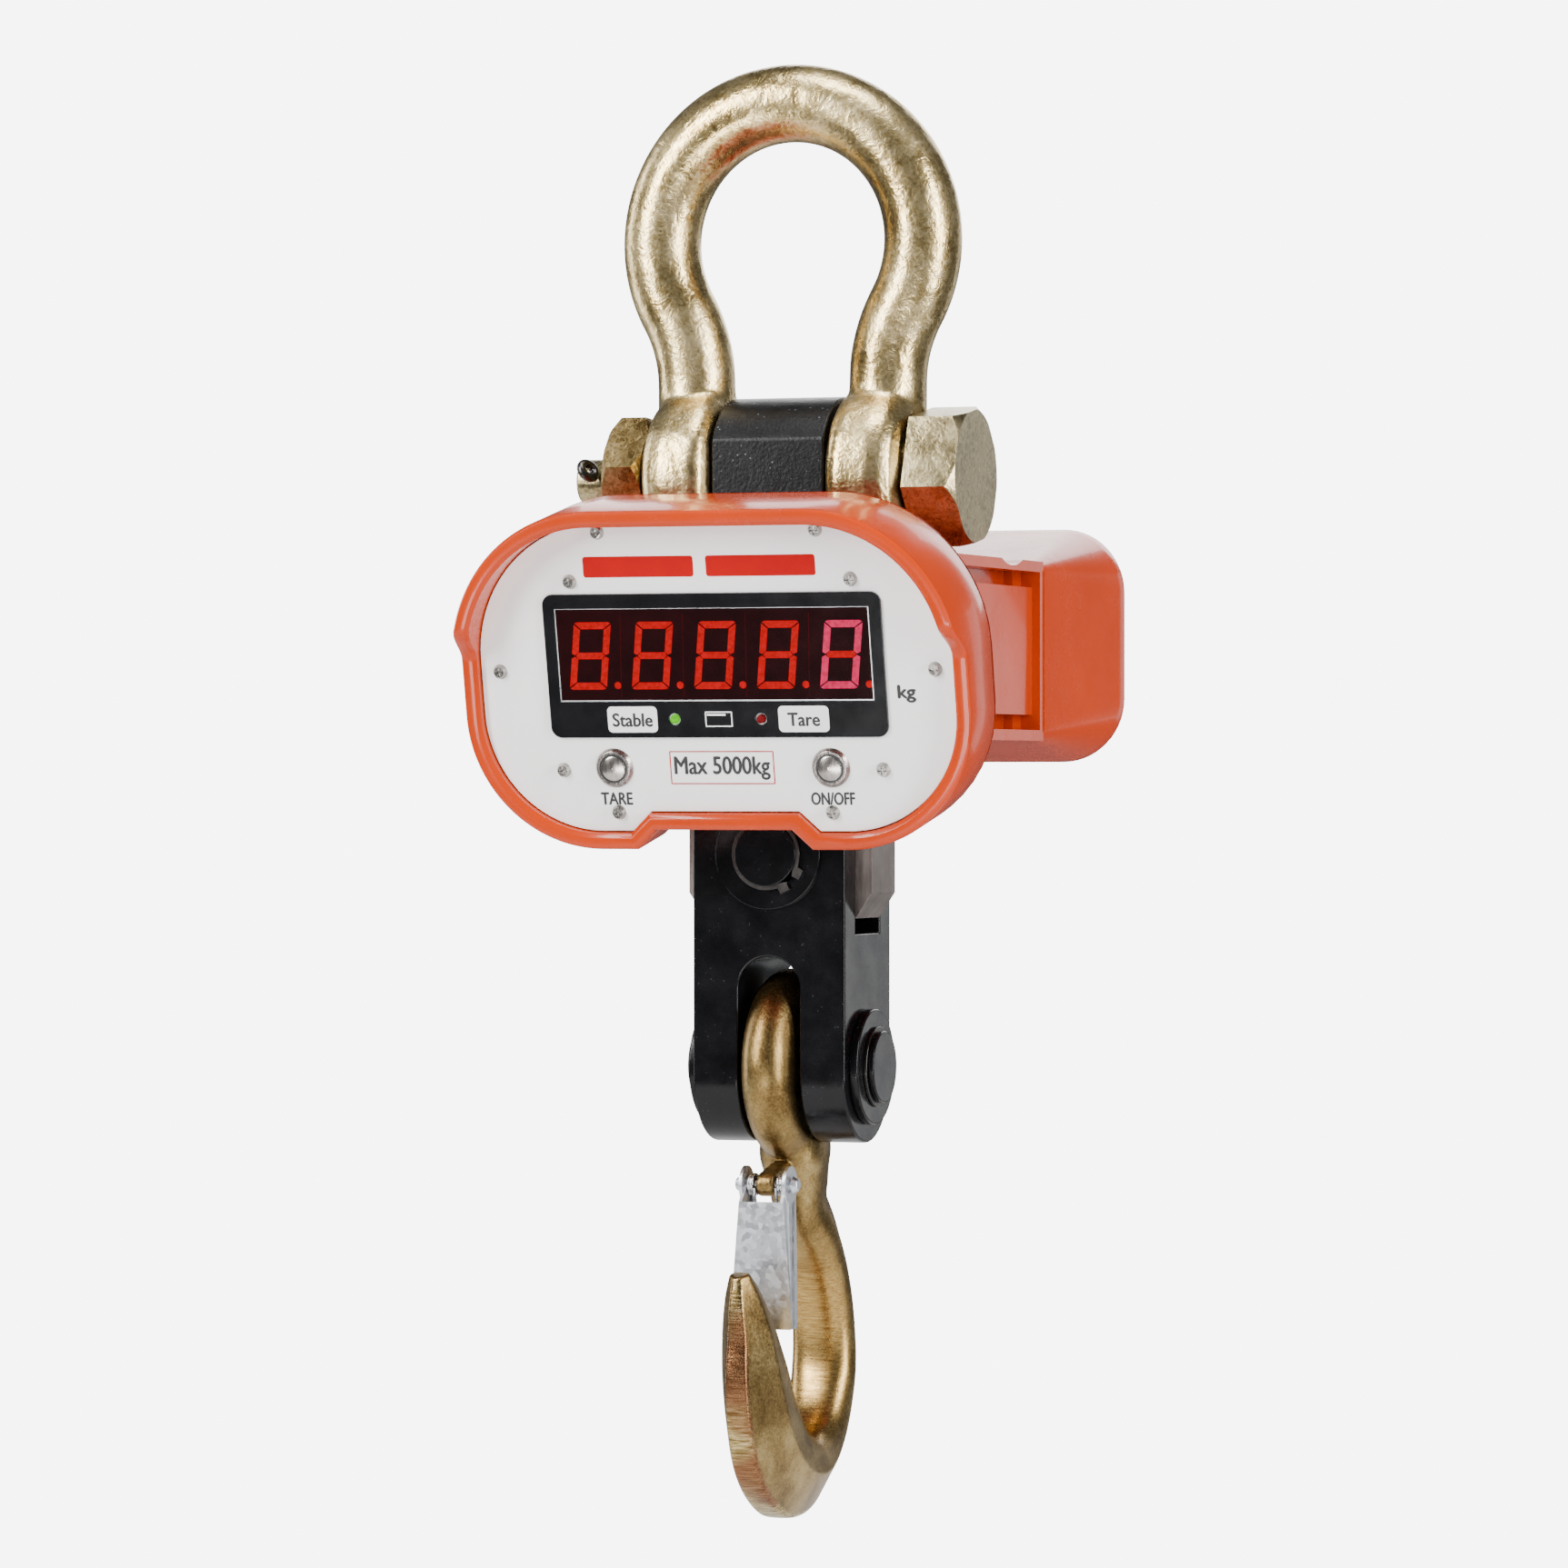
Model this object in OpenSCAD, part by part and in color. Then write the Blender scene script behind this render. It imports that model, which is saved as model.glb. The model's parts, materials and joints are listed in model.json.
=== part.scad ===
// Hanging crane scale: bow shackle, hanger block, load cell in a cast case with a tilted
// display, yoke, and a swinging eye hook with a sprung safety latch.
// Origin: the point of the bow's crown that sits in the crane hook. +Z up, front faces -Y.

/* [Shackle] */
// Diameter of the bow's round bar
bow_bar_d = 36; // [34:0.5:37]
// Radius of the bow's crown, to the middle of the bar
bow_crown_r = 64; // [62:0.5:66]
// Height of the crown's centre above the bolt
bow_crown_z = 109.5; // [108:0.5:111]
// Distance of each straight leg from the middle plane
bow_leg_x = 47; // [46.5:0.1:47.5]
// Height above the bolt at which the legs start to curve
bow_leg_top = 44; // [43:0.5:45]
// Gap between the two eyes of the bow
bow_gap = 57; // [56.6:0.1:57.4]
// Outer diameter of each eye
eye_d = 84; // [82:1:85]
// Thickness of each eye
eye_t = 34; // [33:0.5:35]
// Diameter of the bolt's shank
bolt_d = 38; // [37:0.1:38]
// Width across the flats of the bolt's head
head_af = 60; // [58:0.5:60]
// Thickness of the bolt's head
head_t = 25; // [22:0.5:26]
// Width across the flats of the nut
nut_af = 54; // [53:0.5:56]
// Thickness of the nut
nut_t = 19; // [17:0.5:20]

/* [Hanger and load cell] */
// Radius of the hanger block's barrel
barrel_r = 37.5; // [36:0.5:38]
// Distance of the hanger block's flat faces from the middle
hanger_flat_y = 33.5; // [33:0.1:34]
// Drop from the bolt to the upper pin
upper_pin_drop = 65; // [64:0.5:66]
// Drop from the bolt to the yoke's pin
yoke_pin_drop = 173; // [172:0.5:174]
// Diameter of the upper pin and the yoke's pin
pin_d = 29.4; // [28:0.1:30]
// Width of the load cell
cell_w = 89.2; // [88:0.2:90]
// Thickness of the load cell
cell_t = 33; // [32:0.1:33]
// Drop from the bolt to the load cell's lower end
cell_drop = 202.5; // [201:0.5:203]

/* [Case] */
// Width of the front housing
face_w = 242; // [238:1:244]
// Height of the front housing along its face
face_h = 157; // [155:1:158]
// Downward tilt of the face
face_tilt = 11.7; // [10:0.1:13]
// Radius of the housing's upper corners
face_top_r = 70; // [68:1:72]
// Radius of the housing's lower corners
face_low_r = 62; // [60:1:64]
// Thickness of the rim
rim_t = 7.4; // [7:0.1:8]
// Depth of the front housing behind the rim
front_depth = 36; // [35:0.5:38]
// How far the visor stands out over the rim
visor = 12; // [10:0.5:14]
// Half width of the neck between the front and rear housings
neck_half = 107; // [106:0.5:108]
// Half width of the rear housing at its back
rear_half = 120.5; // [119:0.5:121]
// Distance of the rear housing's back edge from the middle
rear_y = 131; // [130:0.5:133]

/* [Yoke and hook] */
// Width of the yoke
yoke_w = 73.9; // [73:0.1:75]
// Depth of the yoke
yoke_d = 63.6; // [63:0.1:64]
// Drop from the bolt to the hook's pin
hook_pin_drop = 271; // [270.5:0.1:271.5]
// Diameter of the hook's pin
hook_pin_d = 33; // [32:0.1:33]
// Width of the yoke's slot for the hook
hook_slot = 30; // [29.5:0.1:31]
// Thickness of the hook's eye
hook_eye_t = 24; // [23:0.1:25]
// Outer radius of the hook's eye
hook_eye_r = 45; // [44:0.5:46]

/* [Display] */
// Width of the display's black frame
frame_w = 161.6; // [158:0.2:164]
// Height of the display's black frame
frame_h = 65.8; // [64:0.2:67]
// Width of the display's window
window_w = 150; // [148:0.2:151]
// Height of the display's window
window_h = 42.5; // [41:0.1:43]
// Spacing of the digits
digit_pitch = 30; // [29.5:0.1:30.2]
// Distance of each button from the middle
button_x = 51.9; // [50:0.1:54]
// Outer diameter of each button's ring
ring_d = 18.4; // [17:0.1:19]

/* [Hidden] */
$fn = 72;

bar_r = bow_bar_d / 2;
seat_z = bow_crown_z + bow_crown_r - bar_r;
eye_in = bow_gap / 2;
eye_out = eye_in + eye_t;
crown_drop = bow_crown_z - bow_leg_top;
neck_r = (bow_crown_r * bow_crown_r - bow_leg_x * bow_leg_x - crown_drop * crown_drop)
    / (2 * (bow_leg_x - bow_crown_r));
bow_lean = atan2(crown_drop, bow_leg_x + neck_r);
head_x = eye_out + 2;
thread_r = bolt_d / 2 - 1.6;
nut_x = -eye_out - 2.5;
thread_end = nut_x - nut_t - 1.5;
stub_r = 10.5;
stub_end = -103.5;
cotter_x = -95;
cotter_tilt = 16;

run_gap = 0.06;
pin_r = pin_d / 2;
hanger_half = bow_gap / 2 - 1.2;
cell_half = cell_w / 2;
cell_top = -34;
cell_neck = 24;
cell_end = 36.9;
cell_side_top = -54;
cell_side_low = 11.5 - cell_drop;
gauge_z = -119;
cheek_in = cell_t / 2 + 0.4;

face_y = -105.5;
face_z = -94;
notch_top = 32.5;
notch_low = 42;
notch_h = 9;
panel_t = 3;
panel_z = -5;
panel_gap = 0.4;
gasket_t = 0.8;
ledge_z = panel_z - panel_t - gasket_t;
wall = 5;
neck_top = -38;
neck_low = -121;
neck_back = 46;
rear_top = -20;
rear_low = -130.5;
well_x = 50;
well_y = 41;
// The side boxes' recess: a raised field with a deeper groove above and below it
recess_rim = 5;
field_x = 103;
groove_x = 93;
groove_h = 7;
duct_in = 58;
duct_out = 90;
SCREWS = [[52, 12], [67, 34.5], [104, 75.5], [76.6, 121], [51.3, 140.5]];
screw_r = 3.4;
window_y = 10.2;
frame_y = 5.5;
led_y = -19;
led_x = 20.7;
button_y = -41.5;
cap_r = 6;
REAR_SCREWS = [[-105.4, -35.1], [0, -28], [105.4, -35.1], [-105.4, -115.4], [0, -122.5], [105.4, -115.4]];
socket_x = 60;
socket_z = -75;
socket_bore_r = 4;
lead_y = 64.8;
joint_x = 84;
REAR_JOINTS = [[joint_x, -48], [94, -110.8]];

slot_y = 33.5;
yoke_top = -142;
load_slot_z = -209.6;
hook_slot_z = -220;
pivot_y = -32.5;
pivot_z = -324.1;
latch_low = -389.7;
latch_spread = 4.4;
web_y = -42;
web_top = pivot_z - 7.6;
// Hook body from the eye to the tip: centre y, centre z, half depth, half width
HOOK = [[1, -294, 18, 12], [4, -309, 19, 15.5], [7.5, -322, 16, 13.5], [11.5, -335, 14.5, 12],
    [22, -348, 14, 14.5], [35, -366, 12.5, 15], [44, -388, 11.5, 15], [45.5, -411, 11, 15.5],
    [40.5, -429, 12, 15.5], [31, -444.5, 14, 15.5], [16.5, -455.5, 17, 16], [-1, -459, 19.5, 16.5],
    [-22, -454, 23, 16.5], [-42, -437, 26, 16], [-53.5, -412, 22.5, 14.5], [-60.5, -390, 15, 12],
    [-66.5, -374, 9.5, 8.5], [-70.5, -363, 3.8, 4.8]];
// Share of the hook's body that is round, before its outer side narrows to the strip at the edge
hook_round = 0.3;
hook_strip = 0.35;

// ---- shared shapes ----
module hung() {
    translate([0, 0, -seat_z]) children();
}
module along_x(x) {
    translate([x, 0, 0]) rotate([0, 90, 0]) children();
}
module along_y(y) {
    translate([0, y, 0]) rotate([-90, 0, 0]) children();
}
// Face frame: x right, y up along the tilted face, z out of it
module on_face(x = 0, y = 0, z = 0) {
    translate([0, face_y, face_z]) rotate([90 + face_tilt, 0, 0]) translate([x, y, z]) children();
}
module box(x0, x1, y0, y1, z0, z1) {
    translate([x0, y0, z0]) cube([x1 - x0, y1 - y0, z1 - z0]);
}
module disc_ring(r_out, r_in, h) {
    difference() {
        cylinder(r = r_out, h = h);
        translate([0, 0, -1]) cylinder(r = r_in, h = h + 2);
    }
}
function arc(cx, cy, r, a0, a1, n) =
    [for (i = [0:n]) [cx + r * cos(a0 + (a1 - a0) * i / n), cy + r * sin(a0 + (a1 - a0) * i / n)]];
// Rounded rectangle with its corners as arcs of n steps
function round_rect(w, h, r, n = 6) = concat(
    arc(w / 2 - r, h / 2 - r, r, 0, 90, n), arc(r - w / 2, h / 2 - r, r, 90, 180, n),
    arc(r - w / 2, r - h / 2, r, 180, 270, n), arc(w / 2 - r, r - h / 2, r, 270, 360, n));
// Outline of the front housing, moved in by d
function rim_points(d, n = 12) = let(
    hx = face_w / 2, hy = face_h / 2,
    k = d * tan(atan2(notch_h, notch_low - notch_top) / 2))
    concat(arc(hx - face_top_r, hy - face_top_r, face_top_r - d, 90, 0, n),
        arc(hx - face_low_r, face_low_r - hy, face_low_r - d, 0, -90, n),
        [[notch_low + k, d - hy], [notch_top + k, d - hy + notch_h],
         [-notch_top - k, d - hy + notch_h], [-notch_low - k, d - hy]],
        arc(face_low_r - hx, face_low_r - hy, face_low_r - d, 270, 180, n),
        arc(face_top_r - hx, hy - face_top_r, face_top_r - d, 180, 90, n));
module rim_slab(d, z0, z1) {
    translate([0, 0, z0]) linear_extrude(height = z1 - z0) polygon(rim_points(d));
}
module panel_screw_spots() {
    for (s = SCREWS, side = [-1, 1]) on_face(side * s[0], face_h / 2 - s[1]) children();
}
// Swept solid: a list of rings, each with the same number of points
module swept(rings) {
    sides = len(rings[0]);
    last = len(rings) - 1;
    polyhedron(
        points = [for (ring = rings, p = ring) p],
        faces = concat(
            [[for (i = [0:sides - 1]) sides - 1 - i]],
            [for (k = [0:last - 1], i = [0:sides - 1], half = [0, 1])
                let(a = k * sides + i, b = k * sides + (i + 1) % sides)
                half == 0 ? [a, b, b + sides] : [a, b + sides, a + sides]],
            [[for (i = [0:sides - 1]) last * sides + i]]));
}
function unit(v) = v / norm(v);
// Direction of a path at point i
function heading(path, i) = unit(path[min(i + 1, len(path) - 1)] - path[max(i - 1, 0)]);
// Flat or round wire along a path: half sizes a across and b in height
module wire(path, a, b, sides = 8) {
    swept([for (i = [0:len(path) - 1])
        let(t = heading(path, i), u = unit(cross(t, [0, 0, 1])), v = cross(u, t))
        [for (k = [0:sides - 1]) path[i] + u * a * cos(360 * k / sides) - v * b * sin(360 * k / sides)]]);
}
// Smooth curve through the points of a list, at place s of segment i
function smooth(p, i, s) = let(
    n = len(p) - 1, a = p[max(i - 1, 0)], b = p[i], c = p[min(i + 1, n)], d = p[min(i + 2, n)])
    0.5 * (2 * b + (c - a) * s + (2 * a - 5 * b + 4 * c - d) * s * s
        + (3 * b - a - 3 * c + d) * s * s * s);

// ---- shackle ----
// Half of the bow's centre line from eye to crown: leg, reverse curve, then the crown
function bow_half(n = 6) = concat([[bow_leg_x, 12], [bow_leg_x, 26]],
    arc(bow_leg_x + neck_r, bow_leg_top, neck_r, 180, 180 - bow_lean, n),
    arc(0, bow_crown_z, bow_crown_r, 360 - bow_lean, 450, 3 * n));
function mirrored(p) = [for (i = [len(p) - 2:-1:0]) [-p[i][0], p[i][1]]];
bow_line = concat(bow_half(), mirrored(bow_half()));
module bow_eye() {
    along_x(eye_in) rotate_extrude() polygon([[0, 0], [eye_d / 2 - 7, 0], [eye_d / 2, 8],
        [eye_d / 2, eye_t - 12], [eye_d / 2 - 10, eye_t], [0, eye_t]]);
}
module shackle_bow() {
    sides = 20;
    color([0.74, 0.62, 0.4]) hung() difference() {
        union() {
            swept([for (i = [0:len(bow_line) - 1])
                let(p = bow_line[i], t = heading(bow_line, i), r = p[1] < 20 ? bar_r - 3.5 : bar_r)
                [for (k = [0:sides - 1]) let(a = 360 * k / sides)
                    [p[0] + t[1] * r * cos(a), -r * sin(a), p[1] - t[0] * r * cos(a)]]]);
            bow_eye();
            mirror([1, 0, 0]) bow_eye();
        }
        along_x(-eye_out - 1) cylinder(r = bolt_d / 2 + 0.6, h = 2 * eye_out + 2);
    }
}
module shackle_bolt() {
    color([0.66, 0.62, 0.47]) hung() difference() {
        union() {
            along_x(1 - eye_out) cylinder(r = bolt_d / 2, h = eye_out - 1 + head_x + 1);
            along_x(thread_end) cylinder(r = thread_r, h = 2 - eye_out - thread_end);
            along_x(stub_end) cylinder(r1 = stub_r - 1, r2 = stub_r, h = 1);
            along_x(stub_end + 1) cylinder(r = stub_r, h = thread_end - stub_end);
            along_x(head_x) intersection() {
                rotate([0, 0, 40]) cylinder(r = head_af / sqrt(3), h = head_t, $fn = 6);
                cylinder(r1 = head_af / 2 + head_t + 1, r2 = head_af / 2 + 0.6, h = head_t);
            }
        }
        translate([cotter_x, 0, 0]) rotate([-cotter_tilt, 0, 0]) along_y(-30) cylinder(r = 2.8, h = 60);
    }
}
module shackle_nut() {
    color([0.52, 0.42, 0.22]) hung() along_x(nut_x - nut_t) difference() {
        intersection() {
            rotate([0, 0, 20]) cylinder(r = nut_af / sqrt(3), h = nut_t, $fn = 6);
            cylinder(r1 = nut_af / 2 + 0.4, r2 = nut_af / 2 + nut_t + 1, h = nut_t);
            cylinder(r1 = nut_af / 2 + nut_t + 1, r2 = nut_af / 2 + 0.6, h = nut_t);
        }
        translate([0, 0, -1]) cylinder(r = thread_r + 0.05, h = nut_t + 2);
    }
}
module cotter_pin() {
    color([0.12, 0.11, 0.1]) hung() translate([cotter_x, 0, 0]) rotate([-cotter_tilt, 0, 0]) {
        along_y(-11.6) cylinder(r = 2.4, h = 26);
        translate([0, -16.8, 0]) rotate([33, 65, 0]) rotate_extrude() translate([3.8, 0]) circle(r = 2.1);
        for (s = [-1, 1]) translate([s * 1, 14, 0]) rotate([-90, 0, 0]) rotate([0, s * 35, 0])
            cylinder(r = 1.3, h = 10);
    }
}

// ---- hanger ----
module hanger_block() {
    color([0.05, 0.05, 0.055]) hung() difference() {
        intersection() {
            union() {
                along_x(-hanger_half) cylinder(r = barrel_r, h = 2 * hanger_half);
                box(-hanger_half, hanger_half, -hanger_flat_y, hanger_flat_y, -upper_pin_drop, -5);
                translate([0, 0, -upper_pin_drop]) along_y(-hanger_flat_y)
                    cylinder(r = hanger_half, h = 2 * hanger_flat_y);
            }
            box(-40, 40, -hanger_flat_y, hanger_flat_y, -120, 60);
        }
        along_x(-60) cylinder(r = bolt_d / 2 + run_gap, h = 120);
        box(-60, 60, -cheek_in, cheek_in, -120, cell_top + 4);
        translate([0, 0, -upper_pin_drop]) along_y(-60) cylinder(r = pin_r + 0.03, h = 120);
    }
}
module pin_body(drop, r, end) {
    translate([0, 0, -drop]) difference() {
        along_y(-end) cylinder(r = r, h = 2 * end);
        for (y = [-end + 1, end - 2.8]) along_y(y) disc_ring(r + 1, r - 1.4, 1.8);
    }
}
module pin_rings(drop, r, end) {
    translate([0, 0, -drop]) for (y = [-end + 1.05, end - 2.75]) along_y(y) difference() {
        union() {
            disc_ring(r + 1.8, r - 1.35, 1.7);
            for (a = [-16, 16]) rotate([0, 0, 45 + a]) translate([r - 1.2, -2.5, 0]) cube([6, 5, 1.7]);
        }
        rotate([0, 0, 45]) translate([r - 6, -1.6, -1]) cube([14, 3.2, 4]);
    }
}
module upper_pin() {
    color([0.35, 0.35, 0.36]) hung() pin_body(upper_pin_drop, pin_r, hanger_flat_y + 3.5);
}
module upper_pin_rings() {
    color([0.2, 0.2, 0.2]) hung() pin_rings(upper_pin_drop, pin_r, hanger_flat_y + 3.5);
}

// ---- load cell ----
module load_cell() {
    color([0.45, 0.41, 0.38]) hung() difference() {
        translate([0, cell_t / 2, 0]) rotate([90, 0, 0]) linear_extrude(height = cell_t)
            polygon([[-cell_half, cell_side_low], [-cell_end, -cell_drop], [cell_end, -cell_drop],
                [cell_half, cell_side_low], [cell_half, cell_side_top], [cell_neck, cell_top],
                [-cell_neck, cell_top], [-cell_half, cell_side_top]]);
        for (drop = [upper_pin_drop, yoke_pin_drop]) translate([0, 0, -drop])
            along_y(-30) cylinder(r = pin_r + run_gap, h = 60);
        for (side = [0, 180]) rotate([0, 0, side]) translate([0, 0, gauge_z]) along_y(cell_t / 2 - 11)
            cylinder(r = 15, h = 12);
        translate([0, 0, gauge_z]) rotate([0, -90, 0]) cylinder(r = 3, h = 60);
        for (z = [-75, -105], s = [0, 180]) rotate([0, 0, s]) translate([0, 0, z])
            along_x(cell_half - 18) cylinder(r = 3, h = 20);
    }
}
module load_cell_covers() {
    color([0.6, 0.58, 0.55]) hung() for (side = [0, 180]) rotate([0, 0, side])
        translate([0, 0, gauge_z]) along_y(cell_t / 2 - 2.6) cylinder(r = 14.8, h = 2.4);
}
module load_cell_cable() {
    color([0.1, 0.1, 0.1]) hung() wire([[-20, 0, gauge_z], [-52, 0, gauge_z],
        [-61, 0, -118], [-67, 0.5, -115], [-70, 3, -109], [-73, 10, -103], [-74, 25, -97],
        [-74, 42, -91], [-72, 53, -86], [-71, 58, -84], [-71, 61.8, -84]], 2.4, 2.4);
}

// ---- case ----
module rear_slab(y, half, z0, z1, r) {
    translate([0, y, (z0 + z1) / 2]) rotate([90, 0, 0]) linear_extrude(height = 1)
        polygon(round_rect(2 * half, z1 - z0, r));
}
module front_shell() {
    on_face() difference() {
        union() {
            rim_slab(0, -front_depth, 0);
            intersection() {
                rim_slab(0, -1, visor);
                rotate([0, 90, 0]) translate([0, 0, -face_w]) linear_extrude(height = 2 * face_w)
                    polygon([[1, 9], [-3, 13], [-visor + 3, 21], [-visor - 1, 25],
                        [-visor - 1, face_h], [1, face_h]]);
            }
        }
        rim_slab(rim_t, ledge_z, visor + 1);
        rim_slab(14, -13, ledge_z + 1);
        rim_slab(wall + 0.5, wall - front_depth, -12.9);
    }
}
// Front wall of the well, between the side boxes
module well_front() {
    difference() {
        box(-well_x, well_x, -95, -well_y, neck_low, neck_top);
        on_face() translate([-150, -150, 1.5 - front_depth]) cube([300, 300, 100]);
    }
}
module duct(s) {
    box(s > 0 ? duct_in : -duct_out, s > 0 ? duct_out : -duct_in, -92, 60, -112, -56);
}
module front_housing() {
    color([1, 0.33, 0.05]) hung() difference() {
        union() {
            front_shell();
            well_front();
            panel_screw_spots() translate([0, 0, 1 - front_depth])
                cylinder(r = 5, h = front_depth - 1 + ledge_z);
        }
        for (s = [-1, 1]) duct(s);
        panel_screw_spots() translate([0, 0, -26]) cylinder(r = 1.7, h = 30);
        front_joint_spots() translate([0, 0, -front_depth - 1]) cylinder(r = 2.2, h = wall + 2);
    }
}
module side_recess() {
    back = neck_back - recess_rim;
    low = neck_low + recess_rim;
    top = neck_top - recess_rim;
    box(field_x, neck_half + 5, -110, back, low, top);
    for (z = [low, top - groove_h]) {
        box(groove_x, neck_half + 5, -110, back - 12, z, z + groove_h);
        box(groove_x + 4.5, neck_half + 5, -110, back, z, z + groove_h);
    }
}
module side_box(s) {
    difference() {
        box(s > 0 ? well_x : -neck_half, s > 0 ? neck_half : -well_x, -95, neck_back, neck_low, neck_top);
        on_face() translate([-150, -150, -front_depth]) cube([300, 300, 100]);
        mirror([s > 0 ? 0 : 1, 0, 0]) side_recess();
        duct(s);
        along_x(-66) cylinder(r = 46.5, h = 132);
        along_x(-neck_half - 5) cylinder(r = 41, h = 2 * neck_half + 10);
        for (z = [-75, -105]) translate([0, 0, z]) along_x(s * (well_x + 5) - 10) cylinder(r = 3.2, h = 20);
    }
}
module side_boxes() {
    color([1, 0.33, 0.05]) hung() difference() {
        union() for (s = [-1, 1]) side_box(s);
        box(-73, -well_x + 1, -5, 5, neck_low - 1, -111);
        front_joint_spots() translate([0, 0, -front_depth - 13]) cylinder(r = 1.9, h = 14);
        rear_joint_spots() along_y(neck_back - 12) cylinder(r = 1.9, h = 13);
    }
}
module rear_housing() {
    color([1, 0.33, 0.05]) hung() difference() {
        union() {
            difference() {
                hull() {
                    rear_slab(neck_back + 1, neck_half + 0.6, neck_low, neck_top, 6);
                    rear_slab(rear_y, rear_half, rear_low, rear_top, 30);
                }
                hull() {
                    rear_slab(neck_back + wall + 1, neck_half - wall, neck_low + wall, neck_top - wall, 4);
                    rear_slab(rear_y + 1, rear_half - wall, rear_low + wall, rear_top - wall, 25);
                }
            }
            box(-well_x, well_x, well_y, neck_back + 1, neck_low, neck_top);
            for (p = REAR_SCREWS) translate([p[0], 0, p[1]]) along_y(115)
                cylinder(r = 6, h = rear_y - 115);
        }
        for (s = [-1, 1]) duct(s);
        for (p = REAR_SCREWS) translate([p[0], 0, p[1]]) along_y(118) cylinder(r = 1.7, h = 30);
        rear_joint_spots() along_y(neck_back - 1) cylinder(r = 2.2, h = wall + 2);
    }
}
// Screws that join the front and rear housings to the side boxes
module front_joint_spots() {
    for (s = [-1, 1], y = [41.6, -31.5]) on_face(s * joint_x, y, 0) children();
}
module rear_joint_spots() {
    for (s = [-1, 1], p = REAR_JOINTS) translate([s * p[0], 0, p[1]]) children();
}
module case_screws() {
    color([0.6, 0.6, 0.62]) hung() {
        front_joint_spots() {
            translate([0, 0, -front_depth - 12]) cylinder(r = 1.85, h = wall + 12.5);
            translate([0, 0, wall - front_depth]) cylinder(r = 4, h = 4);
        }
        rear_joint_spots() {
            along_y(neck_back - 11) cylinder(r = 1.85, h = wall + 11.5);
            along_y(neck_back + wall) cylinder(r = 4, h = 4);
        }
    }
}
module case_spacers() {
    color([0.55, 0.55, 0.56]) hung() for (s = [0, 180]) rotate([0, 0, s]) difference() {
        box(cell_half, well_x, -13, 13, -113, -66);
        for (z = [-75, -105]) translate([0, 0, z]) along_x(cell_half - 1) cylinder(r = 3.2, h = 10);
    }
}
module case_mount_bolts() {
    color([0.6, 0.6, 0.62]) hung() for (z = [-75, -105], s = [0, 180]) rotate([0, 0, s])
        translate([0, 0, z]) {
            along_x(cell_half - 16) cylinder(r = 2.95, h = duct_in - cell_half + 17);
            along_x(duct_in) cylinder(r = 5, h = 5);
        }
}
module front_panel() {
    color([0.93, 0.92, 0.91]) hung() difference() {
        on_face() rim_slab(rim_t + panel_gap, panel_z - panel_t, panel_z);
        panel_screw_spots() translate([0, 0, -20]) cylinder(r = 2.2, h = 20);
        on_face(-window_w / 2 - 0.5, window_y - 21, -20) cube([window_w + 1, 42, 30]);
        for (s = [-1, 1]) on_face(s * led_x, led_y, -20) cylinder(r = 2.7, h = 30);
        for (s = [-1, 1]) on_face(s * button_x, button_y, -20) cylinder(r = 8.1, h = 30);
    }
}
module panel_gasket() {
    color([0.08, 0.08, 0.08]) hung() difference() {
        on_face() difference() {
            rim_slab(rim_t + panel_gap, ledge_z, ledge_z + gasket_t);
            rim_slab(14, ledge_z - 1, ledge_z + 2);
        }
        panel_screw_spots() translate([0, 0, -20]) cylinder(r = 5.1, h = 20);
    }
}
module panel_screws() {
    color([0.75, 0.74, 0.72]) hung() panel_screw_spots() {
        translate([0, 0, panel_z - 14]) cylinder(r = 1.65, h = 15);
        translate([0, 0, panel_z]) difference() {
            cylinder(r1 = screw_r, r2 = screw_r - 1, h = 2.2);
            for (a = [0, 90]) rotate([0, 0, a]) translate([-2, -0.45, 1.1]) cube([4, 0.9, 3]);
        }
    }
}
module display_bezel() {
    color([0.03, 0.03, 0.035]) hung() difference() {
        on_face(0, frame_y, panel_z) linear_extrude(height = 1.2)
            polygon(round_rect(frame_w, frame_h, 5));
        on_face(-window_w / 2, window_y + 0.3 - window_h / 2, -20) cube([window_w, window_h, 40]);
        for (s = [-1, 1]) on_face(s * led_x, led_y, -20) cylinder(r = 2.7, h = 30);
    }
}
module display_window() {
    color([0.16, 0.0, 0.01]) hung() on_face(0.1 - window_w / 2, window_y + 0.4 - window_h / 2, panel_z + 0.1)
        cube([window_w - 0.2, window_h - 0.2, 0.9]);
}
module digit_modules() {
    color([0.08, 0.0, 0.0]) hung() for (k = [-2:2])
        on_face(k * digit_pitch - digit_pitch / 2 + 0.15, window_y - 20, -18)
            cube([digit_pitch - 0.3, 40, 12.8]);
}
module display_board() {
    color([0.05, 0.3, 0.12]) hung() difference() {
        on_face(-80, -25, -19.6) cube([160, 58, 1.6]);
        for (x = [-77, 77], y = [-22, 30]) on_face(x, y, -30) cylinder(r = 1.6, h = 20);
    }
}
module display_standoffs() {
    color([0.7, 0.6, 0.3]) hung() for (x = [-77, 77], y = [-22, 30]) on_face(x, y, -18)
        disc_ring(2.1, 1.2, 18 + panel_z - panel_t);
}
module led(x) {
    on_face(x, led_y, -18) cylinder(r = 2.4, h = 12);
    on_face(x, led_y, -6.01) cylinder(r1 = 2.4, r2 = 1.8, h = 3.2);
}
module steady_led() {
    color([0.35, 0.9, 0.1]) hung() led(-led_x);
}
module tare_led() {
    color([0.4, 0.02, 0.03]) hung() led(led_x);
}
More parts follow.
